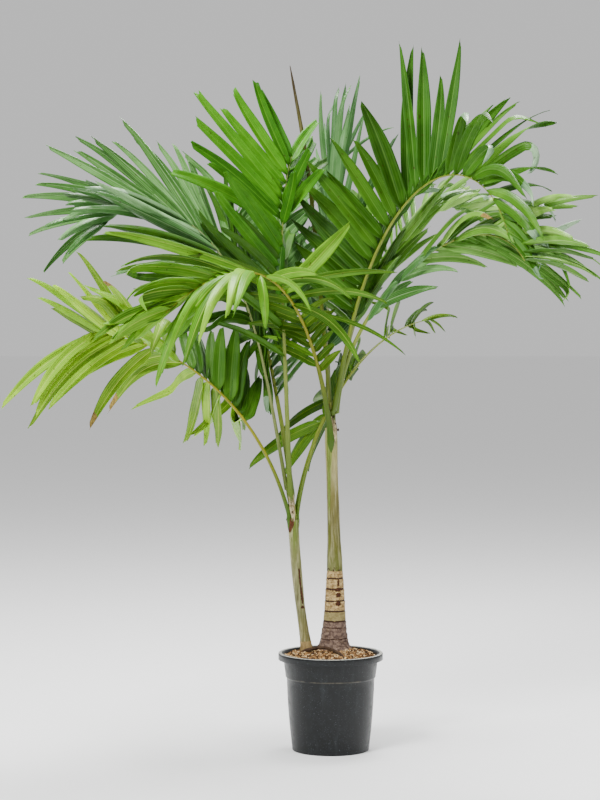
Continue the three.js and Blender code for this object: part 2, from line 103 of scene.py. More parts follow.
# Leaves of the palm, by the same sizes as the solids: angles are in degrees, heading 0 is +X and 90 is +Y
FRONDS = [
    dict(name="tall_right", start=(9, 50, 908), heading=-26, rise=78, drop=148, bend=2.04, sway=-33, curl=42,
         reach=1154, stalk=0.28, roll=25, twist=-20, spread=(60, 26), lift=(46, 44), droop=0.05, leaflet=385,
         first=0.72, last=0.36, pairs=19, width=30, parts=2, stalk_radius=6.5, tone="leaf_deep"),
    dict(name="front_left", start=(1, 46, 832), heading=-121, rise=78, drop=117, bend=1.07, sway=-18, curl=-63,
         reach=1096, stalk=0.23, roll=-14, twist=40, spread=(70, 20), lift=(18, 22), droop=1.05, leaflet=420,
         first=0.46, last=0.36, pairs=18, width=29, parts=2, stalk_radius=6.5, tone="leaf_yellow"),
    dict(name="upright", start=(-109, -6, 700), heading=72, rise=97, drop=27, bend=3.82, sway=-30, curl=-41,
         reach=894, stalk=0.38, roll=33, twist=60, spread=(50, 27), lift=(24, 34), droop=0.85, leaflet=510,
         first=0.62, last=0.38, pairs=17, width=28, parts=1, stalk_radius=5.2, tone="leaf_bright"),
    dict(name="low_left", start=(-108, -3, 622), heading=-168, rise=75, drop=69, bend=1.17, sway=17, curl=44,
         reach=783, stalk=0.42, roll=-3, twist=-50, spread=(74, 28), lift=(0, 0), droop=0.65, leaflet=520,
         first=0.7, last=0.3, pairs=16, width=29, parts=2, stalk_radius=5.4, tone="leaf_yellow"),
    dict(name="far_left", start=(-117, 4, 700), heading=173, rise=80, drop=123, bend=3.48, sway=31, curl=20,
         reach=1023, stalk=0.34, roll=35, twist=-26, spread=(60, 20), lift=(0, -8), droop=0.12, leaflet=500,
         first=0.6, last=0.34, pairs=19, width=26, parts=2, stalk_radius=5.2, tone="leaf_cool"),
    dict(name="far_right", start=(16, 63, 900), heading=-24, rise=86, drop=114, bend=0.93, sway=-55, curl=-9,
         reach=1066, stalk=0.32, roll=15, twist=0, spread=(46, 18), lift=(22, 10), droop=0.5, leaflet=385,
         first=0.5, last=0.5, pairs=18, width=28, parts=2, stalk_radius=6, tone="leaf_fresh"),
    dict(name="back_upright", start=(-4, 66, 915), heading=92, rise=46, drop=0, bend=1.6, sway=-4, curl=7,
         reach=918, stalk=0.31, roll=50, twist=34, spread=(59, 38), lift=(13, 15), droop=0.95, leaflet=480,
         first=0.55, last=0.5, pairs=14, width=28, parts=1, stalk_radius=5.6, tone="leaf_cool"),
    dict(name="back_right", start=(4, 76, 890), heading=38, rise=75, drop=92, bend=2.1, sway=0, curl=-5,
         reach=870, stalk=0.34, roll=5, twist=0, spread=(58, 26), lift=(14, 16), droop=0.4, leaflet=400,
         first=0.6, last=0.45, pairs=15, width=28, parts=1, stalk_radius=5.4, tone="leaf_cool"),
    dict(name="back_centre", start=(-105, 6, 698), heading=118, rise=76, drop=32, bend=0.8, sway=-14, curl=2,
         reach=890, stalk=0.35, roll=-45, twist=24, spread=(60, 20), lift=(-5, 14), droop=0.3, leaflet=400,
         first=0.6, last=0.5, pairs=14, width=28, parts=1, stalk_radius=5.2, tone="leaf_deep"),
    dict(name="low_back", start=(-93, 6, 622), heading=51, rise=79, drop=76, bend=0.9, sway=1, curl=-6,
         reach=890, stalk=0.46, roll=20, twist=20, spread=(70, 32), lift=(20, 14), droop=1.0, leaflet=410,
         first=0.5, last=0.35, pairs=12, width=27, parts=1, stalk_radius=5.4, tone="leaf_deep"),
]
RIB = dict(steps=60, blade_radius=5.0, tip_radius=1.1, sides=14, rings=72, stouter=1.5, foot_rings=12, foot_length=38)
LEAFLET = dict(finer=1.5, peak=0.38, cant=34, uneven_angle=7, uneven_lift=9, uneven_length=0.1, uneven_droop=0.22,
               uneven_arch=0.3, uneven_fold=0.4, slack=0.05, loose=0.09, least_depth=0.15, arch_length=0.06,
               arch_up=0.4, front_apart=0.7, stagger=0.25, rows=16, columns=7, curve_steps=30, thickness=0.9,
               fold=27, root_share=0.2, full_from=0.18, taper_from=0.5, ragged=0.02, oblique=0.05, wave=0.07,
               twist=50, sideways=14, wider=1.28, soft_tip=12, soft_from=0.75, tip_fold=85, fold_from=0.66,
               fold_length=0.16, pale_from=0.72)

# Slots on every leaf: its dry ends, its pale folded ends, then two kinds of green, each with three tones above and
# two below: the leaf's own, and a darker one painted as shade on leaflets that hang in the shade of others
DRY, PALE_END, GREEN, SHADE_GREEN = 0, 1, 2, 7

# What sets one leaf apart: share of leaflets with a folded tip at its foot and at its end, and of these the share
# that shows its pale side, share with a dry end, pairs more that hang on the stalk's end, how many times the leaflets
# of the solid, width of its first and last leaflets, how blunt they end, how far they face front, how loosely they
# stand, and gaps as side, from and to along the blade and the share of leaflets that is missing there
HABIT = dict(
    tall_right=dict(folded=(0.1, 0.45), pale=0.6, dry=0, more=2, finer=1.2, wide=(1.45, 0.72), tip=0.08,
                    front=(0.7, 0.1), loose=0.06),
    front_left=dict(folded=(0.15, 0.2), more=2, wide=(0.65, 1.0), tip=0.15, front=(0.2, 0.6), loose=0.13,
                    gaps=[(1, 0.1, 0.9, 0.25)]),
    upright=dict(folded=(0.05, 0), more=1, finer=1.35, wide=(0.6, 1.1), tip=0.5, front=(0.8, 0.5),
                 gaps=[(1, -0.1, 0.3, 0.3)]),
    low_left=dict(folded=(0.25, 0.1), dry=0.06, more=2, finer=1.3, wide=(1.15, 0.75), tip=0.2,
                  front=(0.4, 0.6), loose=0.13, gaps=[(1, 0.3, 0.75, 0.35), (-1, -0.1, 0.4, 0.2)]),
    far_left=dict(folded=(0.1, 0.1), pale=0.2, more=3, wide=(1.0, 0.75), tip=0.3, front=(0.4, 0.1), loose=0.12),
    far_right=dict(folded=(0.1, 0.2), pale=0.3, more=3, finer=1.25, wide=(0.85, 0.7), tip=0.2, loose=0.13,
                   gaps=[(1, -0.2, 0.4, 0.3), (-1, -0.2, 0.5, 0.4)]),
    back_upright=dict(folded=(0.1, 0.2), pale=0.2, more=3, wide=(1.0, 0.35), tip=0.15, front=(0.5, 0.3),
                      gaps=[(1, 0, 1, 0.5), (-1, 0.5, 1, 0.5)]),
    back_right=dict(folded=(0.15, 0.15), pale=0.2, more=2, wide=(0.9, 0.85), tip=0.2, loose=0.14),
    back_centre=dict(folded=(0.1, 0.1), more=2, wide=(0.9, 0.85), tip=0.2),
    low_back=dict(folded=(0.1, 0.1), more=5, wide=(1.1, 0.32), tip=0.15, gaps=[(1, -0.1, 1, 0.5), (-1, 0, 1, 0.5)]),
)

# Where the leaflets of a leaf reach, as seen from the front: share of the blade's length, how far to the right and up
# the tip lies from its root, and how much the leaflet arches. Their reach in depth follows the leaf's own rule, or is
# a fifth number, the share of the leaflet's spare length that goes back.
SPRAYS = {
    ("tall_right", 1): [
        (-0.1, -180, 120, 0.2), (0, -192, 150, 0.1), (0.08, -198, 185, 0.1), (0.16, -185, 215, 0.1),
        (0.2, -178, 180, 0.2), (0.25, -165, 235, 0.2), (0.29, -117, 198, 0.4), (0.34, -88, 275, 0.1),
        (0.38, -27, 386, 0.1), (0.42, -20, 376, 0.1), (0.46, 6, 345, 0.1), (0.5, 84, 366, 0.1),
        (0.54, 35, 240, 0.4), (0.6, 50, 205, 0.5), (0.64, 60, 130, 0.7), (0.72, 90, -40, 1.0),
        (0.8, 110, -120, 1.0), (0.9, 100, -150, 0.9), (1, 60, -120, 0.8)],
    ("tall_right", -1): [
        (0, 60, 190, 0.1, 0.7), (0.15, 80, 190, 0.1, 0.7), (0.3, 110, 170, 0.2, 0.7), (0.45, 150, 190, 0.2),
        (0.58, 190, 195, 0.3), (0.66, 215, 165, 0.3), (0.74, 190, 90, 0.8), (0.82, 170, 10, 0.9),
        (0.92, 130, -80, 0.9), (1, 70, -120, 0.8)],
    ("upright", 1): [
        (0, -150, 90, 0.2), (0.15, -175, 130, 0.2), (0.3, -190, 170, 0.1), (0.4, -195, 190, 0.1),
        (0.5, -150, 170, 0.3), (0.58, -140, 214, 0.1), (0.63, -267, 130, 0.4), (0.7, -262, 240, 0.1),
        (0.8, -235, 254, 0.1), (0.85, -184, 195, 0.1), (0.88, -166, 224, 0.1), (0.92, -139, 216, 0.1),
        (0.96, -110, 195, 0.1), (1, -59, 168, 0.1)],
    ("upright", -1): [
        (0, -60, 110, 0.3, 0.8), (0.15, -40, 120, 0.3, 0.9), (0.3, -10, 110, 0.3, 0.95),
        (0.45, 0, 110, 0.3, 0.95), (0.6, 10, 110, 0.2, 0.9), (0.7, 15, 120, 0.2, 0.7),
        (0.77, 40, 110, 0.1, 0.4), (0.8, 88, 118, 0.1), (0.88, 75, 106, 0.1), (0.95, 60, 100, 0.1),
        (1, 45, 90, 0.1)],
    ("far_left", 1): [
        (0, -20, 250, 0.1), (0.15, -20, 300, 0.1), (0.3, -60, 330, 0.1), (0.45, -150, 330, 0.1),
        (0.52, -198, 352, 0.1), (0.57, -222, 290, 0.1), (0.62, -256, 272, 0.1), (0.66, -291, 256, 0.1),
        (0.69, -275, 206, 0.1), (0.72, -299, 187, 0.1), (0.76, -310, 147, 0.1), (0.8, -304, 37, 0.5),
        (0.85, -291, 8, 0.4), (0.9, -259, -43, 0.3), (0.95, -184, -125, 0.7), (1, -99, -85, 0.3)],
    ("far_left", -1): [
        (-0.1, 20, -60, 0.6, 0.6), (0, 10, -150, 0.6, 0.4), (0.1, -90, -60, 0.6, 0.3), (0.2, -170, -20, 0.5),
        (0.26, -240, 0, 0.5), (0.32, -330, 60, 0.4), (0.42, -300, 60, 0.3), (0.5, -290, 110, 0.2),
        (0.6, -270, 110, 0.1), (0.75, -230, 50, 0.2), (0.9, -170, -60, 0.4), (1, -80, -120, 0.5)],
    ("front_left", 1): [
        (0, -130, 50, 0.4), (0.15, -170, 30, 0.4), (0.3, -240, 40, 0.5), (0.45, -237, 83, 0.5),
        (0.52, -345, 55, 0.4), (0.6, -310, 55, 0.4), (0.7, -245, 20, 0.6), (0.75, -215, -5, 0.5),
        (0.8, -160, -30, 0.5), (0.9, -150, -60, 0.5), (1, -110, -60, 0.6)],
    ("front_left", -1): [
        (0, 56, 60, 0.6), (0.1, 75, 55, 0.6), (0.2, 85, 60, 0.6), (0.3, 110, 60, 0.5), (0.4, 100, -60, 1.0),
        (0.5, -30, -120, 1.0), (0.56, -70, -155, 0.9), (0.6, -90, -175, 0.8), (0.65, -100, -195, 0.8),
        (0.7, -115, -210, 0.7), (0.75, -147, -219, 0.6), (0.8, -160, -211, 0.6), (0.85, -150, -170, 0.6),
        (0.92, -160, -115, 0.7), (1, -136, -30, 0.8)],
    ("low_left", 1): [
        (-0.15, 0, -60, 0.4), (0, -16, -112, 0.5), (0.12, -16, -110, 0.5), (0.18, -16, -200, 0.4),
        (0.26, -60, -220, 0.4), (0.33, -120, -110, 0.9), (0.42, -155, -165, 0.9), (0.52, -168, -160, 0.9),
        (0.62, -215, -200, 0.9), (0.7, -230, -150, 0.9), (0.8, -210, -240, 1.1), (0.9, -205, -225, 1.1),
        (1, -150, -190, 0.9)],
    ("low_left", -1): [
        (-0.08, 25, 110, 0.5, 0.3), (-0.02, -5, 150, 0.4, 0.4), (0.04, 20, 190, 0.6, 0.2),
        (0.1, -20, 165, 0.3, 0.4), (0.16, 5, 180, 0.5, 0.2), (0.22, -30, 140, 0.4, 0.4),
        (0.3, -25, 125, 0.5, 0.3), (0.4, -45, 110, 0.3), (0.5, -50, 130, 0.2), (0.6, -75, 150, 0.2),
        (0.75, -136, 192, 0.1), (0.8, -147, 150, 0.1), (0.86, -192, 163, 0.1), (0.95, -93, 69, 0.1),
        (1, -70, 40, 0.2)],
    ("far_right", 1): [
        (-0.1, 60, 120, 0.1), (0, 55, 107, 0.1), (0.1, 80, 90, 0.2), (0.2, 90, 110, 0.3), (0.3, 160, 123, 0.5),
        (0.4, 140, 10, 0.8), (0.5, 190, 60, 0.7), (0.6, 190, 75, 0.6), (0.7, 155, 75, 0.6),
        (0.8, 150, 30, 0.7), (0.9, 160, -25, 0.7), (1, 165, -50, 0.6)],
    ("far_right", -1): [
        (-0.1, 100, 90, 0.2), (0, 187, 48, 0.7), (0.1, 160, 40, 0.6), (0.2, 120, 60, 0.4),
        (0.25, 168, -48, 0.9), (0.3, 246, -115, 0.8), (0.4, 150, -20, 0.8), (0.5, 240, -166, 0.6),
        (0.58, 240, -176, 0.6), (0.65, 255, -163, 0.5), (0.75, 225, -90, 0.6), (0.85, 220, -64, 0.6),
        (1, 160, -80, 0.6)],
    ("back_upright", 1): [
        (0, 150, 150, 0.2), (0.15, 180, 250, 0.2), (0.3, 180, 420, 0.3), (0.4, 123, 440, 0.2),
        (0.5, 69, 460, 0.1), (0.6, 35, 411, 0.1), (0.7, 19, 392, 0.1), (0.8, -35, 299, 0.1),
        (0.9, -51, 283, 0.1), (1, -40, 220, 0.1)],
    ("back_upright", -1): [
        (0, -75, 150, 0.2), (0.2, -85, 190, 0.2), (0.4, -75, 190, 0.2), (0.6, -50, 170, 0.1),
        (0.8, -40, 150, 0.1), (1, -20, 130, 0.1)],
    ("back_centre", -1): [
        (0, 110, 110, 0.3), (0.3, 190, 180, 0.2), (0.6, 200, 190, 0.2), (0.8, 180, 160, 0.2),
        (1, 110, 110, 0.2)],
    ("back_right", 1): [
        (0, 120, 160, 0.1), (0.15, 165, 220, 0.1), (0.3, 155, 208, 0.1), (0.45, 170, 168, 0.1),
        (0.6, 147, 107, 0.2), (0.75, 115, 56, 0.3), (0.9, 110, 16, 0.3), (1, 80, -20, 0.3)],
    ("low_back", 1): [
        (-0.2, 20, 110, 0.3, 0.6), (0, 30, 130, 0.3, 0.8), (0.15, 40, 130, 0.4, 0.9), (0.3, 50, 120, 0.4, 0.9),
        (0.45, 60, 90, 0.5, 0.9), (0.6, 70, 60, 0.6, 0.8), (0.75, 80, 40, 0.6, 0.6), (0.9, 90, 10, 0.6, 0.4),
        (1, 80, 0, 0.5, 0.3)],
    ("low_back", -1): [
        (-0.25, -215, -150, 0.4), (-0.16, -45, -185, 1.1), (-0.08, -170, -120, 0.6), (0, 20, -20, 0.6, 0.9),
        (0.15, 30, 20, 0.6, 0.9), (0.4, 20, 0, 0.6, 0.9), (0.6, 15, -20, 0.6, 0.9), (0.8, 30, -30, 0.6, 0.7),
        (1, 50, -40, 0.6, 0.5)],
}

# Leaflets that stand apart from their neighbours: leaf, number and side, then where the tip lies from the root
# (right, back, up), how much it arches, how wide it is against the rest, and its tone, 0 dark to 2 light
STANDING = {
    ("front_left", 5, -1): ((280, -30, -115), 0.7, 0.6, 0),
    ("front_left", 6, -1): ((160, -70, -160), 1.3, 1.2, 0),
    ("front_left", 7, -1): ((254, -60, -26), 0.9, 0.85, 0),
    ("front_left", 8, -1): ((180, -40, 172), 0.15, 1.9, 2),
    ("front_left", 9, -1): ((300, -20, 33), 0.5, 0.9, 0),
    ("front_left", 10, -1): ((190, -80, -64), 1.4, 0.8, 0),
    ("front_left", 11, -1): ((120, -60, 20), 0.6, 1.2, 1),
    ("front_left", 12, -1): ((110, -60, -100), 1.6, 0.7, 1),
    ("front_left", 13, -1): ((20, -80, -136), 1.1, 0.9, 1),
    ("far_left", 14, 1): ((-60, -20, -75), 2.6, 0.7, 2),
    ("upright", 13, -1): ((-13, -50, -150), 0.6, 1.0, 0),
    ("upright", 15, -1): ((42, -50, 138), 0.2, 0.95, 0),
    ("upright", 16, -1): ((106, -40, 122), 0.2, 1.0, 1),
    ("upright", 17, -1): ((74, -40, 146), 0.3, 0.95, 0),
    ("tall_right", 8, 1): ((-22, 30, 405), 0.04, 0.9, 0),
    ("tall_right", 9, 1): ((-30, 40, 396), 0.04, 0.8, 0),
    ("tall_right", 10, 1): ((4, 30, 362), 0.04, 0.95, 0),
    ("tall_right", 11, 1): ((44, 30, 275), 0.1, 0.9, 0),
    ("tall_right", 12, 1): ((62, 30, 355), 0.04, 0.8, 0),
    ("back_upright", 19, 1): ((117, 40, 190), 0.35, 1.1, 1),
    ("back_upright", 20, 1): ((174, 40, 145), 0.5, 1.1, 1),
}

# Camera: where the photograph was taken from
CAMERA = dict(x=-82, distance=7000, height=1300, down=2.96, lens=118.44, sensor=36)


# Colours

def linear(hex_colour):
    """Linear red, green, blue and alpha of an sRGB hex value."""
    channels = [int(hex_colour[i:i + 2], 16) / 255 for i in (1, 3, 5)]
    return tuple(c / 12.92 if c <= 0.04045 else ((c + 0.055) / 1.055) ** 2.4 for c in channels) + (1.0,)


# Kinds of node, each with its settings. A step is 0 below its low value, 1 above its high one, and smooth between.
PLUS, MINUS, TIMES, SIZE, SINE, LESS = (
    ("Math", {"operation": name}) for name in ("ADD", "SUBTRACT", "MULTIPLY", "ABSOLUTE", "SINE", "LESS_THAN"))
STEP = ("MapRange", {"interpolation_type": "SMOOTHSTEP"})
RANGE = ("MapRange", {})
MIX = ("Mix", {"data_type": "RGBA"})
RAMP = ("ValToRGB", {})
NOISE = ("TexNoise", {})
MAPPING = ("Mapping", {})
RELIEF = ("Bump", {})
AXES = ("SeparateXYZ", {})
OWN_PLACE = ("TexCoord", {})
BLADE_UV = ("UVMap", {"uv_map": "blade"})

# Outputs by number: an object's own coordinates, and the axes of a place
OBJECT = 3
X, Y, Z = 0, 1, 2


def add_node(tree, kind, *values, out=0):
    """Add a node of a kind, link or set its inputs in their order, and give one of its outputs."""
    name, settings = kind
    node = tree.nodes.new("ShaderNode" + name)
    for key, value in settings.items():
        setattr(node, key, value)
    for socket, value in zip([socket for socket in node.inputs if socket.enabled], values):
        if isinstance(value, bpy.types.NodeSocket):
            tree.links.new(value, socket)
        elif value is not None:
            socket.default_value = value
    return [socket for socket in node.outputs if socket.enabled][out]


def new_material(name, roughness, specular):
    """A material, and the function that adds nodes to it."""
    material = bpy.data.materials.new(name)
    material.use_nodes = True
    shader = material.node_tree.nodes["Principled BSDF"]
    shader.inputs["Roughness"].default_value = roughness
    shader.inputs["Specular IOR Level"].default_value = specular
    return material, partial(add_node, material.node_tree)


def finished(material, colour, height, depth_mm, strength, roughness=None):
    """The material with its colour, its relief of a depth in millimetres and, where given, its roughness linked."""
    tree = material.node_tree
    shader = tree.nodes["Principled BSDF"]
    relief = add_node(tree, RELIEF, strength, depth_mm * MM, None, height)
    for name, value in (("Base Color", colour), ("Normal", relief), ("Roughness", roughness)):
        if value is not None:
            tree.links.new(value, shader.inputs[name])
    return material


def grain(add, size_mm, detail=3.0, roughness=0.55, stretch=(1, 1, 1)):
    """Noise on a piece's own coordinates, with features of a real size."""
    place = add(MAPPING, add(OWN_PLACE, out=OBJECT), None, None, stretch)
    return add(NOISE, place, 1 / (size_mm * MM), detail, roughness)


def mottle(add, pattern, low, high, dark, light):
    """One colour where a pattern is low, another where it is high."""
    return add(MIX, add(STEP, pattern, low, high), linear(dark), linear(light))


def tint(add, below, mask, strength, colour):
    """A colour laid over what is below, where a mask shows, at a strength."""
    return add(MIX, add(TIMES, mask, strength), below, linear(colour))


# Veins across a leaflet, the depth of their relief, the size of the soft clouds in its green, and of its specks
VEINS = 7
VEIN_DEPTH_MM = 0.3
CLOUD_MM = 90
SPECK_MM = 10


def palm_leaf(name, base, pale, vein, roughness, gloss):
    """Palm leaf blade, waxy skin over fibres: fine long veins, green in soft clouds, and a few brown specks."""
    material, add = new_material(name, roughness, gloss)
    across = add(AXES, add(BLADE_UV), out=X)
    fine = add(STEP, add(SINE, add(TIMES, across, VEINS * 2 * math.pi)), -0.2, 1.0)
    midvein = add(STEP, add(SIZE, add(MINUS, across, 0.5)), 0.05, 0.012)
    green = mottle(add, grain(add, CLOUD_MM), 0.36, 0.66, base, pale)
    striped = tint(add, green, fine, 0.14, vein)
    veined = tint(add, striped, midvein, 0.4, vein)
    specks = add(STEP, grain(add, SPECK_MM, 2, 0.5), 0.69, 0.73)
    specked = tint(add, veined, specks, 0.7, "#33260c")
    return finished(material, specked, add(PLUS, fine, midvein), VEIN_DEPTH_MM, 0.8)


def nursery_plastic():
    """Injection moulded polypropylene, black: satin, with dust in its fine grain and on its step, and pale scuffs."""
    material, add = new_material("moulded_polypropylene", 0.42, 0.26)
    dust = add(STEP, grain(add, 16, 6, 0.7), 0.46, 0.72)
    specks = add(STEP, grain(add, 2.2, 2, 0.5), 0.66, 0.74)
    runs = add(STEP, grain(add, 14, 4, 0.6, (1, 1, 0.12)), 0.5, 0.8)
    base = add(MIX, add(TIMES, dust, 0.55), linear("#0c0e0f"), linear("#1c2022"))
    worn = tint(add, base, runs, 0.3, "#2c3234")
    specked = tint(add, worn, specks, 0.4, "#76828c")
    height = add(AXES, add(OWN_PLACE, out=OBJECT), out=Z)
    above = add(STEP, height, (POT["step_bottom"] - 0.5) * MM, (POT["step_bottom"] + 1.5) * MM)
    below = add(STEP, height, (POT["step_top"] + 1) * MM, (POT["step_top"] - 1.5) * MM)
    settled = add(TIMES, add(TIMES, above, below), add(STEP, grain(add, 30, 4, 0.7), 0.4, 0.65))
    dusty = tint(add, specked, settled, 0.22, "#8f8672")
    return finished(material, dusty, grain(add, 1.4, 2, 0.5), 0.08, 0.5, add(RANGE, dust, 0, 1, 0.34, 0.56))


def plain_bark(name, dark, light, grain_mm, depth_mm, roughness=0.85, stretch=(1, 1, 1)):
    """Dry plant fibre: matt, mottled between two browns, with short cracks."""
    material, add = new_material(name, roughness, 0.25)
    cracks = grain(add, grain_mm, 5, 0.65, stretch)
    return finished(material, mottle(add, cracks, 0.32, 0.68, dark, light), cracks, depth_mm, 0.8)


def ringed_stem_skin():
    """Young palm stem: tan skin between scars, rougher purple brown bark at its foot, fine upright cracks."""
    material, add = new_material("ringed_palm_stem", 0.72, 0.3)
    height = add(AXES, add(OWN_PLACE, out=OBJECT), out=Z)
    mottled = grain(add, 9, 6, 0.7, (1, 1, 1.6))
    upright = grain(add, 5, 4, 0.6, (1, 1, 0.16))
    tan = mottle(add, mottled, 0.38, 0.68, "#6e552c", "#c2a872")
    olive = mottle(add, mottled, 0.3, 0.7, "#6c5e34", "#938656")
    bark = mottle(add, mottled, 0.36, 0.66, "#43302a", "#846e5e")
    below_tan, below_olive = TRUNK["tan_from"], TRUNK["bark_top"]
    lower = add(MIX, add(STEP, height, (below_olive - 2) * MM, (below_olive + 2) * MM), bark, olive)
    whole = add(MIX, add(STEP, height, (below_tan - 4) * MM, (below_tan + 4) * MM), lower, tan)
    streaked = tint(add, whole, add(STEP, upright, 0.54, 0.72), 0.4, "#5c4c20")
    return finished(material, streaked, add(PLUS, mottled, upright), 0.5, 0.7)


def waxy_sheath_skin(name, foot_z, top_z, stops, stripe=False, rubbed=0.4):
    """Leaf sheath wrapped round the stem: smooth and waxy, with a bloom that rubs off in upright streaks."""
    material, add = new_material(name, 0.5, 0.25)
    right, back, height = (add(AXES, add(OWN_PLACE, out=OBJECT), out=axis) for axis in (X, Y, Z))
    green = add(RAMP, add(STEP, height, foot_z * MM, top_z * MM))
    elements = green.node.color_ramp.elements
    for k, (at, colour) in enumerate(stops):
        stop = elements[k] if k < 2 else elements.new(at)
        stop.position = at
        stop.color = linear(colour)
    if stripe:
        from_line = add(SIZE, add(PLUS, right, STRIPE["left"] * MM))
        half = add(TIMES, add(STEP, height, STRIPE["foot"] * MM, STRIPE["top"] * MM), STRIPE["half_width"] * MM)
        soft = STRIPE["soft"] * MM
        inside = add(STEP, add(MINUS, half, from_line), -soft, soft)
        green = tint(add, green, add(TIMES, inside, add(LESS, back, STRIPE["back"] * MM)), 0.8, "#56700e")
    bloom = add(STEP, grain(add, 8, 5, 0.65, (1, 1, 0.1)), 0.42, 0.7)
    darker = add(STEP, grain(add, 5, 4, 0.6, (1, 1, 0.05)), 0.5, 0.7)
    flecks = add(STEP, grain(add, 2.4, 3, 0.6, (1, 1, 0.5)), 0.6, 0.72)
    bloomed = tint(add, green, bloom, rubbed, "#aca67e")
    shaded = tint(add, bloomed, darker, rubbed + 0.15, "#363210")
    whole = tint(add, shaded, flecks, 0.5, "#4c3c20")
    return finished(material, whole, grain(add, 3.5, 4, 0.6, (1, 1, 0.08)), 0.3, 0.6)


def stalk_skin(name, foot, base, pale, brown):
    """Leaf stalk and midrib: firm and waxy, green at its foot, streaked along its length, brown scurf in places."""
    material, add = new_material(name, 0.46, 0.25)
    along = add(AXES, add(BLADE_UV), out=Y)
    streaks = add(NOISE, add(MAPPING, add(BLADE_UV), None, None, (16, 9, 1)), 1.0, 4, 0.6)
    upper = mottle(add, streaks, 0.35, 0.65, base, pale)
    green = add(MIX, add(STEP, along, 0.0, 1.1), linear(foot), upper)
    scurf = add(STEP, grain(add, 5, 4, 0.7), 0.6, 0.74)
    return finished(material, tint(add, green, scurf, 0.5, brown), streaks, 0.2, 0.5)


# Shaping by hand: rings raised one on another in edit mode

def raise_form(name, stages, sides, fill_foot=True):
    """Raise a round form from a disc: each stage is extruded from the last, moved and sized."""
    bpy.ops.object.select_all(action="DESELECT")
    z, x, y, radius = stages[0]
    bpy.ops.mesh.primitive_circle_add(vertices=sides, radius=radius * MM, fill_type="NGON",
                                      location=(x * MM, y * MM, z * MM))
    piece = bpy.context.object
    piece.name = name
    bpy.ops.object.transform_apply(location=True)
    bpy.ops.object.mode_set(mode="EDIT")
    bpy.ops.mesh.select_all(action="SELECT")
    for low, high in zip(stages, stages[1:]):
        move = tuple((b - a) * MM for a, b in zip((low[1], low[2], low[0]), (high[1], high[2], high[0])))
        bpy.ops.mesh.extrude_region_move(TRANSFORM_OT_translate={"value": move})
        grow = high[3] / low[3]
        bpy.ops.transform.resize(value=(grow, grow, 1),
                                 center_override=(high[1] * MM, high[2] * MM, high[0] * MM))
    if fill_foot:
        bpy.ops.mesh.select_all(action="DESELECT")
        bpy.ops.mesh.select_non_manifold(extend=False)
        bpy.ops.mesh.edge_face_add()
    bpy.ops.mesh.select_all(action="SELECT")
    bpy.ops.mesh.normals_make_consistent(inside=False)
    bpy.ops.object.mode_set(mode="OBJECT")
    bpy.ops.object.shade_smooth_by_angle(angle=math.radians(40))
    return piece


def along_stages(stages, z):
    """Centre and radius of a stem at a height, eased between its stages."""
    heights = [s[0] for s in stages]
    return tuple(float(np.interp(z, heights, [s[k] for s in stages])) for k in (1, 2, 3))


def fine_stages(stages, step, shape=lambda z: 0.0):
    """Stages at every step of height, with a profile added to the radius."""
    low, high = stages[0][0], stages[-1][0]
    count = max(2, round((high - low) / step))
    result = []
    for k in range(count + 1):
        z = low + (high - low) * k / count
        x, y, radius = along_stages(stages, z)
        result.append((z, x, y, max(radius + shape(z), 0.3)))
    return result


def push_out(piece, amount):
    """Move each point along its normal by amount(place in mm), in mm."""
    moves = [(v, v.normal.copy(), amount(v.co / MM)) for v in piece.data.vertices]
    for vertex, normal, by in moves:
        vertex.co += normal * (by * MM)
    piece.data.update()


def paint_faces(piece, materials, choose):
    """Give the piece its materials, and each face the one that choose(centre in mm, normal) names."""
    for material in materials:
        piece.data.materials.append(material)
    for face in piece.data.polygons:
        face.material_index = choose(face.center / MM, face.normal)


def mesh_piece(name, points, faces, materials, slots=None, uvs=None, smooth=True):
    """Object from arrays of points in mm and faces, joined as one mesh."""
    mesh = bpy.data.meshes.new(name)
    mesh.from_pydata((np.asarray(points) * MM).tolist(), [], [list(map(int, f)) for f in faces])
    for material in materials:
        mesh.materials.append(material)
    if slots is not None:
        mesh.polygons.foreach_set("material_index", np.asarray(slots, dtype=np.int32))
    mesh.polygons.foreach_set("use_smooth", np.full(len(mesh.polygons), smooth, dtype=bool))
    if uvs is not None:
        layer = mesh.uv_layers.new(name="blade")
        loops = np.empty(len(mesh.loops), dtype=np.int32)
        mesh.loops.foreach_get("vertex_index", loops)
        layer.data.foreach_set("uv", np.asarray(uvs, dtype=np.float32)[loops].ravel())
    mesh.update()
    piece = bpy.data.objects.new(name, mesh)
    bpy.context.scene.collection.objects.link(piece)
    return piece


def finish_piece(piece, slot, *nodes):
    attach(piece, "root")
    if nodes:
        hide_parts(*nodes)


def shifted(faces, by):
    """Faces of a part, numbered on from the points before it."""
    return [tuple(i + by for i in face) for face in faces]


def tube_faces(rings, sides):
    """Faces of a tube whose points lie ring after ring, its ends closed."""
    faces = []
    for a in range((rings - 1) * sides):
        b = a + 1 if (a + 1) % sides else a + 1 - sides
        faces.append((a, b, b + sides, a + sides))
    last = (rings - 1) * sides
    return faces + [tuple(reversed(range(sides))), tuple(range(last, last + sides))]


def sheet_faces(rows, columns):
    """Faces of a thin sheet whose points lie row after row, upper side first: each with its row and its part."""
    under = rows * columns
    for k in range(rows - 1):
        for a in range(k * columns, (k + 1) * columns - 1):
            b, d, e = a + 1, a + columns, a + columns + 1
            yield (a, b, e, d), k, "top"
            yield (under + a, under + d, under + e, under + b), k, "under"
        left, right = k * columns, (k + 1) * columns - 1
        for a, b in ((left, left + columns), (right + columns, right)):
            yield (a, b, under + b, under + a), k, "rim"
    for a in range(columns - 1):
        b = (rows - 1) * columns + a
        yield (a + 1, a, under + a, under + a + 1), 0, "rim"
        yield (b, b + 1, under + b + 1, under + b), rows - 1, "rim"


# Growth of a leaf

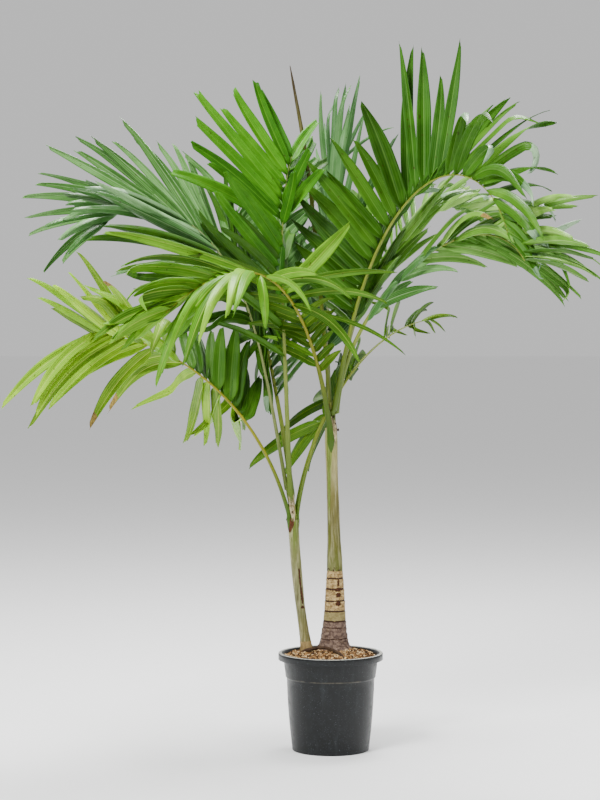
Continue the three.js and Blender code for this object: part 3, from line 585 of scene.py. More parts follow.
def uneven(seed, salt):
    """A repeatable uneven number from -1 to 1."""
    wave = math.sin(seed * 127.1 + salt * 311.7) * 43758.5453
    return 2 * (wave - math.floor(wave)) - 1


def unit(v):
    return v / np.linalg.norm(v)


class Midrib:
    """Midrib of a leaf, and the frame of its blade at any share of its length."""

    def __init__(self, frond):
        self.frond = frond
        steps = RIB["steps"]
        self.points = [np.array(frond["start"], float)]
        for k in range(steps):
            self.points.append(self.points[-1] + self.at((k + 0.5) / steps)[0] * frond["reach"] / steps)

    def at(self, t):
        f = self.frond
        up = math.radians(f["rise"] - f["drop"] * t ** f["bend"])
        turn = math.radians(f["heading"] + f["sway"] * t + f["curl"] * (t * t - t))
        along = np.array((math.cos(up) * math.cos(turn), math.cos(up) * math.sin(turn), math.sin(up)))
        right = np.array((math.sin(turn), -math.cos(turn), 0.0))
        return along, right, np.cross(right, along)

    def place(self, t):
        step = min(t * RIB["steps"], RIB["steps"] - 1e-6)
        k = int(step)
        return self.points[k] + (self.points[k + 1] - self.points[k]) * (step - k)


def leaflet_share(frond, u):
    peak = LEAFLET["peak"]
    if u < peak:
        return frond["first"] + (1 - frond["first"]) * math.sin(math.pi / 2 * u / peak)
    return frond["last"] + (1 - frond["last"]) * math.cos(math.pi / 2 * (u - peak) / (1 - peak))


def outline_share(s, blunt):
    """Half width of a leaflet at share s of its length: narrow root, full middle, tapered end."""
    if s < LEAFLET["full_from"]:
        share = LEAFLET["root_share"]
        return share + (1 - share) * math.sin(math.pi / 2 * s / LEAFLET["full_from"])
    if s < LEAFLET["taper_from"]:
        return 1.0
    fall = (s - LEAFLET["taper_from"]) / (1 - LEAFLET["taper_from"])
    return 1 - (1 - blunt) * fall ** 1.6


def folds_over(frond, u, seed):
    """Whether the end of a leaflet is folded over."""
    first, last = HABIT[frond["name"]]["folded"]
    return uneven(seed, 12) > 1 - 2 * (first + (last - first) * max(u, 0))


def measured_chord(spray, u, length, depth_way, seed):
    """Where a leaflet's tip lies from its root, by what its spray says for the front view, and how much it arches."""
    shares = [row[0] for row in spray]
    x, z, arch = (float(np.interp(u, shares, [row[k] for row in spray])) for k in (1, 2, 3))
    deepest = math.sqrt(max(length ** 2 - x * x - z * z, (LEAFLET["least_depth"] * length) ** 2))
    nearest = min(spray, key=lambda row: abs(row[0] - u))
    back = deepest * nearest[4] if len(nearest) > 4 else max(-deepest, min(deepest, depth_way * length))
    chord = np.array((x, back, z)) * (1 + LEAFLET["uneven_length"] * uneven(seed, 3))
    return chord, arch * (1 + LEAFLET["uneven_arch"] * uneven(seed, 4))


def leaflet_curve(frond, rib, u, side, seed, apart):
    """Middle line of a leaflet with its frame: it sets off from the midrib and bends down under its weight."""
    habit = HABIT[frond["name"]]
    t = frond["stalk"] + (1 - frond["stalk"]) * u
    along, right, top = rib.at(t)
    along_blade = u
    u = max(u, 0.0)
    roll = math.radians(frond["roll"] + frond["twist"] * u)
    flat = right * math.cos(roll) + top * math.sin(roll)
    raised = top * math.cos(roll) - right * math.sin(roll)
    first, last = frond["spread"]
    spread = math.radians(first + (last - first) * u + LEAFLET["uneven_angle"] * uneven(seed, 1))
    lift = math.radians(frond["lift"][0 if side > 0 else 1] + LEAFLET["uneven_lift"] * uneven(seed, 2))
    way = (along * math.cos(spread) + flat * side * math.sin(spread) * math.cos(lift)
           + raised * math.sin(spread) * math.sin(lift))
    length = frond["leaflet"] * leaflet_share(frond, u) * (1 + LEAFLET["uneven_length"] * uneven(seed, 3))
    cant = math.radians(LEAFLET["cant"])
    across = side * (along * math.cos(cant) + raised * math.sin(cant))
    slack = LEAFLET["slack"] * (1 + uneven(seed, 5))
    droop = frond["droop"] * (1 + LEAFLET["uneven_droop"] * uneven(seed, 4)) + slack
    front = habit.get("front", (0, 0))[0 if side > 0 else 1]
    loose = habit.get("loose", LEAFLET["loose"])
    chord = None
    if apart:
        chord, droop, front, loose = np.array(apart[0], float), apart[1], LEAFLET["front_apart"], 0
    elif (frond["name"], side) in SPRAYS:
        chord, droop = measured_chord(SPRAYS[frond["name"], side], along_blade, length, way[1], seed)
    if chord is not None:
        length = np.linalg.norm(chord) * (1 + LEAFLET["arch_length"] * droop)
        shake = loose * np.array([uneven(seed, 15 + k) for k in range(3)])
        way = unit(chord) + shake + np.array((0, 0, LEAFLET["arch_up"] * droop))
    if front:
        facing = unit(np.cross((0.0, -1.0, 0.25), way))
        across = unit(across * (1 - front) + facing * (front * (1 if facing.dot(across) > 0 else -1)))
    turned_most = math.radians(LEAFLET["twist"] * (0.3 * uneven(seed, 6) + 0.7 * uneven(seed, 6) ** 3))
    sideways = math.radians(LEAFLET["sideways"] * uneven(seed, 7))
    folds = folds_over(frond, u, seed) and not apart
    bend, bend_from, bend_length = LEAFLET["soft_tip"], LEAFLET["soft_from"], 1 - LEAFLET["soft_from"]
    if folds:
        bend = LEAFLET["tip_fold"] * (0.7 + 0.5 * uneven(seed, 13))
        bend_from, bend_length = LEAFLET["fold_from"] + 0.12 * uneven(seed, 14), LEAFLET["fold_length"]
    steps = LEAFLET["curve_steps"]
    centre = rib.place(t)
    frames = []
    for k in range(steps + 1):
        share = (k + 0.5) / steps
        heading = unit(way + across * math.tan(sideways * share ** 1.6) - np.array((0, 0, droop * share ** 1.5)))
        edge = unit(across - heading * across.dot(heading))
        face = np.cross(heading, edge)
        bent_share = max(0.0, (share - bend_from) / bend_length)
        bent = math.radians(bend) * (min(1.0, bent_share) if folds else bent_share)
        heading, face = (heading * math.cos(bent) - face * math.sin(bent),
                         face * math.cos(bent) + heading * math.sin(bent))
        turned = turned_most * (k / steps) ** 1.4
        edge = edge * math.cos(turned) + face * math.sin(turned)
        frames.append((centre, edge, np.cross(heading, edge)))
        centre = centre + heading * length / steps
    return np.array(frames), length


def leaflet_blade(frond, rib, number, side, pairs, tones):
    """Points, faces, slots and leaf coordinates of one leaflet: a folded blade with a ragged slanting end."""
    u = (number + 0.5 + side * LEAFLET["stagger"]) / pairs
    seed = number * 2 + (0 if side > 0 else 1) + frond["reach"] + 0.37
    apart = STANDING.get((frond["name"], number, side))
    frames, length = leaflet_curve(frond, rib, u, side, seed, apart)
    habit = HABIT[frond["name"]]
    first_wide, last_wide = habit["wide"]
    half = (0.5 * frond["width"] * LEAFLET["wider"] * (first_wide + (last_wide - first_wide) * max(u, 0))
            * (0.92 + 0.2 * uneven(seed, 8)) * (0.7 + 0.3 * min(1, length / 300)) * (apart[2] if apart else 1))
    fold = math.tan(math.radians(LEAFLET["fold"] * (1 + LEAFLET["uneven_fold"] * uneven(seed, 9))))
    slant = LEAFLET["oblique"] * (1 if uneven(seed, 10) > 0 else -1)
    rows, columns, steps = (LEAFLET[key] for key in ("rows", "columns", "curve_steps"))
    top = np.empty((rows, columns, 3))
    under = np.empty((rows, columns, 3))
    uv = np.empty((rows, columns, 2))
    for c in range(columns):
        x = 2 * c / (columns - 1) - 1
        end = 1 - abs(slant) / 2 + slant / 2 * x + LEAFLET["ragged"] * (uneven(seed, 20 + c) - 1) * 0.5
        for k in range(rows):
            s = (k / (rows - 1)) ** 0.9 * end
            i = min(int(s * steps), steps - 1)
            f = s * steps - i
            centre, edge, face = frames[i] * (1 - f) + frames[i + 1] * f
            reach = half * outline_share(s, habit["tip"])
            wave = LEAFLET["wave"] * half * math.sin(8 * s + 3 * x + seed)
            height = (0.5 - abs(x)) * fold * reach + wave
            top[k, c] = centre + edge * (x * reach) + face * height
            under[k, c] = top[k, c] - face * LEAFLET["thickness"] * (1 - 0.3 * s)
            uv[k, c] = ((x + 1) / 2, s)
    points = np.concatenate([top.reshape(-1, 3), under.reshape(-1, 3)])
    uvs = np.concatenate([uv.reshape(-1, 2), uv.reshape(-1, 2)])
    tone, under_tone, dry, pale = tones(seed, u, side)
    if apart:
        tone, under_tone, dry, pale = GREEN + apart[3], GREEN + (4 if apart[3] else 3), -1, False
    faces, slots, rims = [], [], []
    for face, row, part in sheet_faces(rows, columns):
        share = (row + 1.5) / (rows - 1)
        slot = under_tone if part == "under" else tone
        if share >= 1 - dry:
            slot = DRY
        elif pale and share >= LEAFLET["pale_from"] and row < rows - 1:
            slot = PALE_END
        faces.append(face)
        slots.append(slot)
        rims.append(part == "rim")
    return points, faces, slots, uvs, rims


def grow_leaflets(frond, rib, materials):
    """All leaflets of a leaf as one mesh, each in a green that suits its place: darker, as painted shade, where it
    hangs in the shade of others.
    """
    habit = HABIT[frond["name"]]
    pairs = round(frond["pairs"] * habit.get("finer", LEAFLET["finer"]))
    dry_share = habit.get("dry", 0.02)

    def tones(seed, u, side):
        pick = uneven(seed, 30) + 0.5 * (u - 0.5)
        tone = 0 if pick < -0.35 else 1 if pick < 0.4 else 2
        kind = GREEN
        # Painted shade: leaflets in a shaded zone take the darker second set of greens
        for zone_side, low, high in SHADED.get(frond["name"], ()):
            if side == zone_side and low <= u + 0.06 * uneven(seed, 34) < high:
                kind = SHADE_GREEN
        dry = 0.04 + 0.05 * uneven(seed, 33) ** 2 if uneven(seed, 31) * 0.5 + 0.5 < dry_share else -1
        pale = folds_over(frond, u, seed) and uneven(seed, 35) > 1 - 2 * habit.get("pale", 0)
        return kind + tone, kind + (3 if uneven(seed, 32) < 0 else 4), dry, pale

    points, faces, slots, uvs, rims = np.empty((0, 3)), [], [], [], []
    for number in range(-habit.get("more", 0), pairs):
        for side in (1, -1):
            here = [g[3] for g in habit.get("gaps", ()) if g[0] == side and g[1] <= number / pairs < g[2]]
            stands = (frond["name"], number, side) in STANDING
            if here and not stands and uneven(number + 0.5 * side + frond["reach"], 77) > 1 - 2 * here[0]:
                continue
            blade = leaflet_blade(frond, rib, number, side, pairs, tones)
            faces += shifted(blade[1], len(points))
            points = np.concatenate([points, blade[0]])
            slots += blade[2]
            uvs.append(blade[3])
            rims += blade[4]
    return mesh_piece(f"leaflets_{frond['name']}", points, faces, materials, slots, np.concatenate(uvs),
                      smooth=~np.array(rims))


def grow_stalk(frond, rib, material):
    """Stalk and midrib as one tapering limb: round below, grooved above."""
    rings, sides = RIB["rings"], RIB["sides"]
    points, uvs = [], []
    stem =MAIN_STEM if frond["start"][0] > -40 else THIN_STEM
    base_radius = frond["stalk_radius"] * RIB["stouter"]
    along, right, top = rib.at(0)
    foot = RIB["foot_rings"]
    start = np.array(frond["start"], float)
    x, y, _ = along_stages(stem, start[2])
    outward = unit(start - np.array((x, y, start[2])))
    tangent = np.array((-outward[1], outward[0], 0.0))
    tangent *= 1 if tangent.dot(right) > 0 else -1

    def on_skin(centre, sunk):
        """Move a point of the stalk out to the stem's skin where it would lie deeper."""
        x, y, skin = along_stages(stem, centre[2])
        out = np.dot(centre[:2] - (x, y), outward[:2])
        return centre + outward * max(0.0, skin - sunk - out) if centre[2] < stem[-1][0] else centre

    for k in range(foot):
        share = 1 - k / foot
        z = start[2] - RIB["foot_length"] * share
        x, y, skin = along_stages(stem, z)
        centre = np.array((x, y, z)) + outward * (skin - 0.6 - 1.2 * (1 - share))
        axis = unit(along * (1 - share) + np.array((0, 0, 1)) * share)
        side_way = unit(right * (1 - share) + tangent * share)
        side_way = unit(side_way - axis * side_way.dot(axis))
        up_way = np.cross(side_way, axis)
        thick = base_radius * 0.86 * (1 - share) + 0.9 * share
        broad = base_radius * (1 - share ** 2) + 0.8
        for i in range(sides):
            turn = 2 * math.pi * i / sides
            groove = 1 - 0.42 * (1 - share) * max(0, math.cos(turn)) ** 6
            points.append(centre + up_way * (thick * math.cos(turn) * groove) + side_way * (broad * math.sin(turn)))
            uvs.append((i / sides, -share * 0.3))
    for k in range(rings + 1):
        t = k / rings
        along, right, top = rib.at(t)
        if t < frond["stalk"]:
            share = (t / frond["stalk"]) ** 0.7
            radius = base_radius + (RIB["blade_radius"] - base_radius) * share
        else:
            share = (t - frond["stalk"]) / (1 - frond["stalk"])
            radius = RIB["blade_radius"] + (RIB["tip_radius"] - RIB["blade_radius"]) * share ** 0.8
        centre = on_skin(rib.place(t), 1.8) if t < 0.12 else rib.place(t)
        for i in range(sides):
            turn = 2 * math.pi * i / sides
            groove = 1 - 0.42 * max(0, math.cos(turn)) ** 6
            points.append(centre + top * (radius * 0.86 * math.cos(turn) * groove)
                          + right * (radius * math.sin(turn)))
            uvs.append((i / sides, t * 3))
    return mesh_piece(f"stalk_{frond['name']}", points, tube_faces(foot + rings + 1, sides), [material], None, uvs)


# Greens of each kind of leaf: three tones above and two below, each from its base to its paler clouds
GREENS = dict(
    shade=dict(tops=[("#143400", "#1e4400"), ("#224800", "#305a06"), ("#325e08", "#44700f")],
               unders=[("#1c4000", "#285202"), ("#2c5606", "#3c680e")], vein="#5a8030", gloss=0.12),
    deep=dict(tops=[("#1a4000", "#265002"), ("#2a5604", "#38680c"), ("#3a6c0a", "#50801c")],
              unders=[("#1e4a02", "#2c5c08"), ("#2e5e08", "#407216")], vein="#6c9840", gloss=0.2),
    bright=dict(tops=[("#164c00", "#226000"), ("#266400", "#367800"), ("#3a7c00", "#50920a")],
                unders=[("#1c5000", "#2a6402"), ("#326e04", "#468410")], vein="#6aa028", gloss=0.15),
    yellow=dict(tops=[("#285a00", "#386e04"), ("#427a06", "#589612"), ("#56900a", "#76aa1e")],
                unders=[("#285400", "#386804"), ("#4a7e0a", "#629618")], vein="#b0c850", gloss=0.12),
    lime=dict(tops=[("#446c00", "#5a8600"), ("#68a000", "#80b804"), ("#88c00a", "#a6d824")],
              unders=[("#4a7400", "#608c04"), ("#6c9c04", "#86b414")], vein="#d4e468", gloss=0.2),
    cool=dict(tops=[("#143e06", "#1e4c10"), ("#285a18", "#3a6c2c"), ("#508242", "#74a066")],
              unders=[("#2a5a12", "#3c6c24"), ("#44762e", "#5c8a48")], vein="#a3c48c", gloss=0.4),
    fresh=dict(tops=[("#265400", "#38680a"), ("#44780e", "#5c8e26"), ("#669a28", "#8cba54")],
               unders=[("#346610", "#467a20"), ("#4e7e28", "#6a9a44")], vein="#b4d080", gloss=0.3),
    pale=dict(tops=[("#163e0c", "#204c16"), ("#24521a", "#346428"), ("#3a682e", "#527e44")],
              unders=[("#24521a", "#346428"), ("#3c6a30", "#527c44")], vein="#80a470", gloss=0.25),
    olive=dict(tops=[("#1c4000", "#2a5200"), ("#325a00", "#426a06"), ("#4a6e06", "#628618")],
               unders=[("#264a00", "#345c02"), ("#3e6204", "#52760e")], vein="#88a034", gloss=0.15),
)

# Kind of green of each leaf, and the darker green painted as shade on its leaflets that hang in the shade of others:
# side, from and to along the blade
KINDS = dict(tall_right=("deep", "shade"), front_left=("yellow", "olive"), upright=("bright", "shade"),
             low_left=("lime", "shade"), far_left=("cool", "shade"), far_right=("fresh", "cool"),
             back_upright=("pale", "deep"), back_right=("fresh", "pale"), back_centre=("cool", "deep"),
             low_back=("olive", "shade"))
SHADED = dict(tall_right=[(1, -1, 0.4), (-1, -1, 0.3)], front_left=[(-1, -1, 0.22), (1, 0, 0.4)],
              upright=[(1, -1, 0.46), (-1, -1, 0.76)], low_left=[(-1, -1, 0.4)],
              far_left=[(1, -1, 0.3), (-1, -1, 0.4)],
              far_right=[(1, -1, 0.2), (-1, -1, 0.2)], back_centre=[(1, 0, 0.5)])


def leaf_set(kind):
    """Materials of one kind of leaf: three greens above and two below."""
    look = GREENS[kind]
    tops = [palm_leaf(f"{kind}_leaf_above_{k}", base, pale, look["vein"], 0.34, look["gloss"])
            for k, (base, pale) in enumerate(look["tops"])]
    below = [palm_leaf(f"{kind}_leaf_below_{k}", base, pale, look["vein"], 0.5, 0.12)
             for k, (base, pale) in enumerate(look["unders"])]
    return tops + below


def grow_fronds():
    sets = {kind: leaf_set(kind) for kind in GREENS}
    ends = [plain_bark("leaf_dry_end", "#5e4a20", "#96803c", 6, 0.2, 0.7),
            palm_leaf("folded_leaf_end", "#5c8458", "#8aac84", "#b4ccaa", 0.32, 0.4)]
    stalks = {
        "leaf_deep": stalk_skin("grey_green_stalk", "#465c10", "#566a14", "#80882e", "#4c3c20"),
        "leaf_bright": stalk_skin("green_stalk", "#4a5e14", "#54661a", "#76803c", "#4c3420"),
        "leaf_yellow": stalk_skin("yellow_stalk", "#345000", "#606600", "#868006", "#5a3c10"),
        "leaf_cool": stalk_skin("bloomed_stalk", "#505e24", "#5c6830", "#868e5c", "#4c3430"),
        "leaf_fresh": stalk_skin("light_green_stalk", "#50641c", "#607418", "#8c943a", "#4c3c20"),
    }
    for frond in FRONDS:
        rib = Midrib(frond)
        kind, shaded_kind = KINDS[frond["name"]]
        leaflets = grow_leaflets(frond, rib, ends + sets[kind] + sets[shaded_kind])
        names = ["inner", "outer"] if frond["parts"] == 2 else ["blade"]
        finish_piece(leaflets, frond["tone"], *[f"frond_{frond['name']}_{part}" for part in names])
        stalk = grow_stalk(frond, rib, stalks[frond["tone"]])
        finish_piece(stalk, "stalk", f"frond_{frond['name']}_stalk")


# Stems, root and spear

def make_stems():
    """The two stems with their sheaths, what is torn on them, their buds and the spear."""
    skin = ringed_stem_skin()
    scar = plain_bark("leaf_scar_bark", "#20120a", "#3e2616", 3, 0.4)
    wound = plain_bark("dried_wound", "#1c0c06", "#4e2a10", 2.5, 0.4)
    make_trunk(skin, scar, wound)
    make_main_sheath(skin, scar)
    make_thin_stem(wound)
    make_torn_sheaths()
    make_buds()
    make_spear()


def ragged(place, size):
    """Smooth unevenness from -1 to 1, with features of a size in millimetres."""
    return noise.noise(Vector((place.x / size, place.y / size, place.z / size)))


def flutes(place, width, height):
    """Upright unevenness from -1 to 1, of a width and a height in millimetres."""
    return noise.noise(Vector((place.x / width, place.y / width, place.z / height)))


def in_wound(place, stages, wounds):
    """Whether a place on the front of a stem lies in one of its dried wounds."""
    x, y, _ = along_stages(stages, place.z)
    if place.y > y:
        return False
    for offset, low, high, half in wounds:
        level = (place.z - (low + high) / 2) / ((high - low) / 2)
        across = (place.x - x - offset) / (half * (1 + 0.5 * ragged(place, 3)))
        if abs(level) < 1 and across ** 2 + level ** 4 < 1:
            return True
    return False


def nearest_scar(z):
    return min(LEAF_SCARS, key=lambda scar: abs(scar - z))


def make_trunk(skin, scar, wound):
    """Main stem below its sheath: a groove and a lip at each leaf scar, rough bark and lobes towards its foot."""

    def ring_profile(z):
        past = z - nearest_scar(z)
        return -0.9 * math.exp(-(past / 1.8) ** 2) + 0.8 * math.exp(-((past + 4.5) / 2.4) ** 2)

    def bark(place):
        rough_share = max(0.0, min(1.0, (TRUNK["rough_below"] - place.z) / 25))
        flare = max(0.0, (TRUNK["flare_below"] - place.z) / (TRUNK["flare_below"] - MAIN_RINGED[0][0]))
        lobes = flare * (2.5 + 2.4 * math.cos(TRUNK["lobes"] * math.atan2(place.y - 60, place.x - 9)))
        rough = noise.fractal(Vector((place.x / 7, place.y / 7, place.z / 9)), 1.0, 2.0, 4)
        sunk = TRUNK["wound_depth"] if in_wound(place, MAIN_RINGED, MAIN_WOUNDS) else 0
        return lobes + rough * (0.3 + 1.3 * rough_share) - sunk

    def skin_at(place, normal):
        if in_wound(place, MAIN_RINGED, MAIN_WOUNDS):
            return 2
        level = place.z + 1.3 * ragged(place, 14) + 0.8 * ragged(place, 3)
        nearest = nearest_scar(level)
        return int(abs(level - nearest) < (2.3 if nearest > TRUNK["thin_scars_below"] else 1.2))

    trunk = raise_form("ringed_trunk", fine_stages(MAIN_RINGED, 1.5, ring_profile), 128)
    push_out(trunk, bark)
    paint_faces(trunk, [skin, scar, wound], skin_at)
    finish_piece(trunk, "ringed_stem", "main_stem")


def make_main_sheath(skin, scar):
    """Smooth sheath of the main stem, with a ragged tan hem and dark bits above it."""
    hem = MAIN_SHEATH[0][0] + 6
    waxy = waxy_sheath_skin("main_sheath_skin", MAIN_SHEATH[0][0], MAIN_SHEATH[-1][0], [
        (0.0, "#4c520e"), (1.0, "#7c7c3a"), (0.1, "#545418"), (0.25, "#565220"), (0.55, "#645e2c"),
        (0.85, "#9a9260")], stripe=True, rubbed=0.5)

    def skin_at(place, normal):
        level = place.z + 1.4 * ragged(place, 9)
        if level < hem:
            return 1
        return 2 if level < hem + 8 and ragged(place, 3.2) > 0.16 else 0

    sheath = raise_form("green_crownshaft", fine_stages(MAIN_SHEATH, 2.6), 90)
    push_out(sheath, lambda place: 0.4 * flutes(place, 7, 130))
    paint_faces(sheath, [waxy, skin, scar], skin_at)
    finish_piece(sheath, "green_sheath", "main_sheath")


def make_thin_stem(wound):
    """Thin stem: a short barky foot and a long sheath, with dried wounds."""
    bark_top = THIN_FOOT[-1][0] - 21
    waxy = waxy_sheath_skin("thin_sheath_skin", bark_top + 1, THIN_SHEATH[-1][0], [
        (0.0, "#66602e"), (1.0, "#56661c"), (0.12, "#5c5c34"), (0.5, "#6a6a44"), (0.8, "#626634")], rubbed=0.6)
    bark = plain_bark("thin_stem_bark", "#6e5a34", "#a08858", 7, 0.5, 0.75, (1, 1, 0.4))
    foot = raise_form("thin_stem_foot", fine_stages(THIN_FOOT, 1.6), 64)
    push_out(foot, lambda p: 0.6 * noise.fractal(Vector((p.x / 4, p.y / 4, p.z / 12)), 1.0, 2.0, 3))
    paint_faces(foot, [bark, waxy], lambda place, normal: int(place.z + 1.6 * ragged(place, 8) > bark_top))
    finish_piece(foot, "ringed_stem", "thin_stem")

    def wounded(place, normal=None):
        return int(in_wound(place, THIN_SHEATH, THIN_WOUNDS))

    sheath = raise_form("thin_crownshaft", fine_stages(THIN_SHEATH, 2), 80)
    push_out(sheath, lambda place: 0.3 * flutes(place, 6, 120) - 0.8 * wounded(place))
    paint_faces(sheath, [waxy, wound], wounded)
    finish_piece(sheath, "green_sheath", "thin_sheath")


def make_buds():
    """Young sheaths that close the top of each stem."""
    waxy = waxy_sheath_skin("bud_skin", 600, MAIN_BUD[-1][0], [(0.0, "#5c7018"), (1.0, "#78801c"), (0.5, "#667424")])
    for node, stages in (("main_bud", MAIN_BUD), ("thin_bud", THIN_BUD)):
        bud = raise_form(node + "_sheaths", fine_stages(stages, 4), 40)
        bud.data.materials.append(waxy)
        finish_piece(bud, "green_sheath", node)


def make_spear():
    """Unopened leaf: its leaflets lie rolled round each other, as pleats that wind up the spear."""
    waxy = waxy_sheath_skin("spear_skin", SPEAR[0][0], SPEAR[-1][0], [
        (0.0, "#5c6a18"), (1.0, "#2c1c08"), (0.6, "#525e0c"), (0.92, "#464208")], rubbed=0.12)
    stages = fine_stages(SPEAR, 8)

    def pleats(place):
        x, y, _ = along_stages(stages, place.z)
        turn = math.atan2(place.y - y, place.x - x) + place.z / 260
        return 0.5 * math.cos(6 * turn)

    spear = raise_form("rolled_spear", stages, 24)
    push_out(spear, pleats)
    spear.data.materials.append(waxy)
    finish_piece(spear, "stalk", "spear")


def torn_sheath(stages, low, high, turns, out, seed):
    """Points and faces of a dry sheath that still clings to part of a stem, torn along its upper edge."""
    rows, columns = 10, 22
    first, last = (math.radians(turn) for turn in turns)
    points = []
    for layer in (1, 0):
        for k in range(rows + 1):
            for c in range(columns + 1):
                tear = 0.62 + 0.38 * uneven(seed, 60 + c) * 0.8 + 0.1 * math.sin(c * 0.9 + seed)
                share = k / rows * min(1.0, tear)
                hem = low + 0.45 * (high - low) * abs(2 * c / columns - 1) ** 1.3
                z = hem + (high - hem) * share + 1.5 * uneven(seed, 90 + c) * (1 - share)
                x, y, radius = along_stages(stages, z)
                turn = first + (last - first) * c / columns
                gap = radius + 0.7 + out * share ** 2 + 0.5 * math.sin(c * 1.7 + seed) * share + 0.8 * layer
                points.append((x + gap * math.cos(turn), y + gap * math.sin(turn), z))
    return points, [face for face, _, _ in sheet_faces(rows + 1, columns + 1)]


def broken_stub(stages, z, turn, size, seed):
    """Points and faces of a rough knob on the side of a stem."""
    rings, sides = 5, 8
    x, y, radius = along_stages(stages, z)
    out = radius + size * 0.8 + (2.5 if stages is MAIN_STEM else 1.2)
    x, y = x + out * math.cos(math.radians(turn)), y + out * math.sin(math.radians(turn))
    points = []
    for j in range(rings):
        for i in range(sides):
            lat, lon = math.radians(36 * j - 72), 2 * math.pi * i / sides
            r = size * (1 + 0.35 * uneven(seed * 50 + j * sides + i, 70))
            points.append((x + r * math.cos(lat) * math.cos(lon), y + r * math.cos(lat) * math.sin(lon),
                           z + 1.2 * r * math.sin(lat)))
    return points, tube_faces(rings, sides)


def make_torn_sheaths():
    """Dry brown sheaths and stubs left where old leaves and flower stalks broke off."""
    materials = [plain_bark("dead_sheath_fibre", "#2e160c", "#5c3418", 5, 0.5, 0.9, (1, 1, 0.3)),
                 plain_bark("papery_sheath_fibre", "#6c5c3c", "#b4a884", 5, 0.4, 0.85, (1, 1, 0.5)),
                 plain_bark("broken_stub", "#1c100a", "#3c2416", 2, 0.4)]
    parts = [(torn_sheath(*row[:-1]), row[-1]) for row in TORN_SHEATHS]
    parts += [(broken_stub(*row, seed), 2) for seed, row in enumerate(STUBS)]
    points, faces, slots = [], [], []
    for (part_points, part_faces), slot in parts:
        faces += shifted(part_faces, len(points))
        slots += [slot] * len(part_faces)
        points += part_points
    torn = mesh_piece("torn_sheaths_and_stubs", points, faces, materials, slots)
    finish_piece(torn, "ringed_stem")


def make_root():
    """Woody root that loops over the soil."""
    material = plain_bark("root_bark", "#24150c", "#4c3826", 5, 0.5, 0.85)
    count = 60
    path = np.array(ROOT_PATH, float)
    knots = np.linspace(0, 1, len(path))
    samples = np.linspace(0, 1, count)
    line = np.stack([np.interp(samples, knots, path[:, i]) for i in range(3)], -1)
    for _ in range(6):
        line[1:-1] = (line[:-2] + 2 * line[1:-1] + line[2:]) / 4
    sides = 14
    points = []
    for k in range(count):
        along = unit(line[min(k + 1, count - 1)] - line[max(k - 1, 0)])
        right = unit(np.cross(along, (0, 0, 1)))
        top = np.cross(right, along)
        for i in range(sides):
            turn = 2 * math.pi * i / sides
            bumps = noise.noise(Vector((k / 5, math.cos(turn), math.sin(turn))))
            radius = 4.8 - 1.0 * k / count + 0.8 * bumps
            points.append(line[k] + top * (radius * math.cos(turn)) + right * (radius * math.sin(turn)))
    root = mesh_piece("root_over_soil", points, tube_faces(count, sides), [material])
    finish_piece(root, "root_bark", "root_loop")


# Pot and soil

def pot_body(z):
    share = (z - POT["foot_round"]) / (POT["step_bottom"] - POT["foot_round"])
    return (POT["foot_radius"] + (POT["body_top_radius"] - POT["foot_radius"]) * share
            + POT["body_bulge"] * math.sin(math.pi * share))


def pot_neck(z):
    share = (z - POT["step_top"]) / (POT["neck_top"] - POT["step_top"])
    return POT["step_radius"] + (POT["neck_radius"] - POT["step_radius"]) * share


def make_pot():
    """Nursery pot: up the wall, over the shoulder, round the rolled rim and down the inside."""
    wall, top, floor = POT["wall"], POT["height"], POT["floor"]
    foot, body, neck, rim = (POT[part + "_radius"] for part in ("foot", "body_top", "neck", "rim"))
    step, rim_bottom = POT["step_bottom"], POT["rim_bottom"]
    skirt = rim - POT["rim_wall"]
    under_rim = top - 2 * POT["rim_wall"]
    profile = [(foot - POT["foot_inset"], 0.0), (foot - 0.8, 0.9), (foot, 2.2)]
    profile += [(pot_body(z), z) for z in np.linspace(POT["foot_round"], step - 1.5, 14)]
    profile += [(body + 0.9, step + 0.2), (body + 2.3, step + 1.6), (body + 3.1, step + 3.2)]
    profile += [(pot_neck(z), z) for z in np.linspace(POT["step_top"] + 1, POT["neck_top"], 5)]
    profile += [(neck + 0.4, under_rim - 1.5), (neck + 1.6, under_rim), (skirt - 1, under_rim),
                (skirt, under_rim - 1), (skirt, rim_bottom + 0.6), (skirt + 0.6, rim_bottom),
                (rim - 0.5, rim_bottom), (rim, rim_bottom + 0.6), (rim, top - 6), (rim - 0.2, top - 2.2),
                (rim - 0.9, top - 0.7), (rim - 2.2, top), (rim - 9, top - 0.5), (neck + 0.4, top - 1.2),
                (neck - 1.4, top - 3.4)]
    profile += [(pot_neck(z) - wall, z) for z in np.linspace(POT["neck_top"], POT["step_top"] + 1, 5)]
    profile += [(pot_body(z) - wall, z) for z in np.linspace(step, floor + 3, 6)]
    profile += [(foot - 5, floor)]
    pot = raise_form("nursery_pot", [(z, 0, 0, r) for r, z in profile], POT_SIDES)
    # Painted highlight: the up-facing top of the rolled rim is painted pale grey to cream, as where the light catches
    # it
    lip = plain_bark("pot_rim_painted_highlight", "#8b9090", "#cbc8ba", 9, 0.1, 0.4)
    paint_faces(pot, [nursery_plastic(), lip], lambda place, normal:
                int(normal.z > 0.6 and place.z > top - 1.2 and math.hypot(place.x, place.y) > 130))
    finish_piece(pot, "pot_plastic", "pot")


def soil_height(x, y):
    radius = math.hypot(x, y)
    slope = max(0.0, (radius - SOIL["level_radius"]) / (122 - SOIL["level_radius"]))
    rough = 2.2 * noise.fractal(Vector((x / 16, y / 16, 3.1)), 1.0, 2.0, 3)
    return SOIL["top"] - (SOIL["top"] - SOIL["edge"]) * slope ** 1.3 - 1.5 + rough


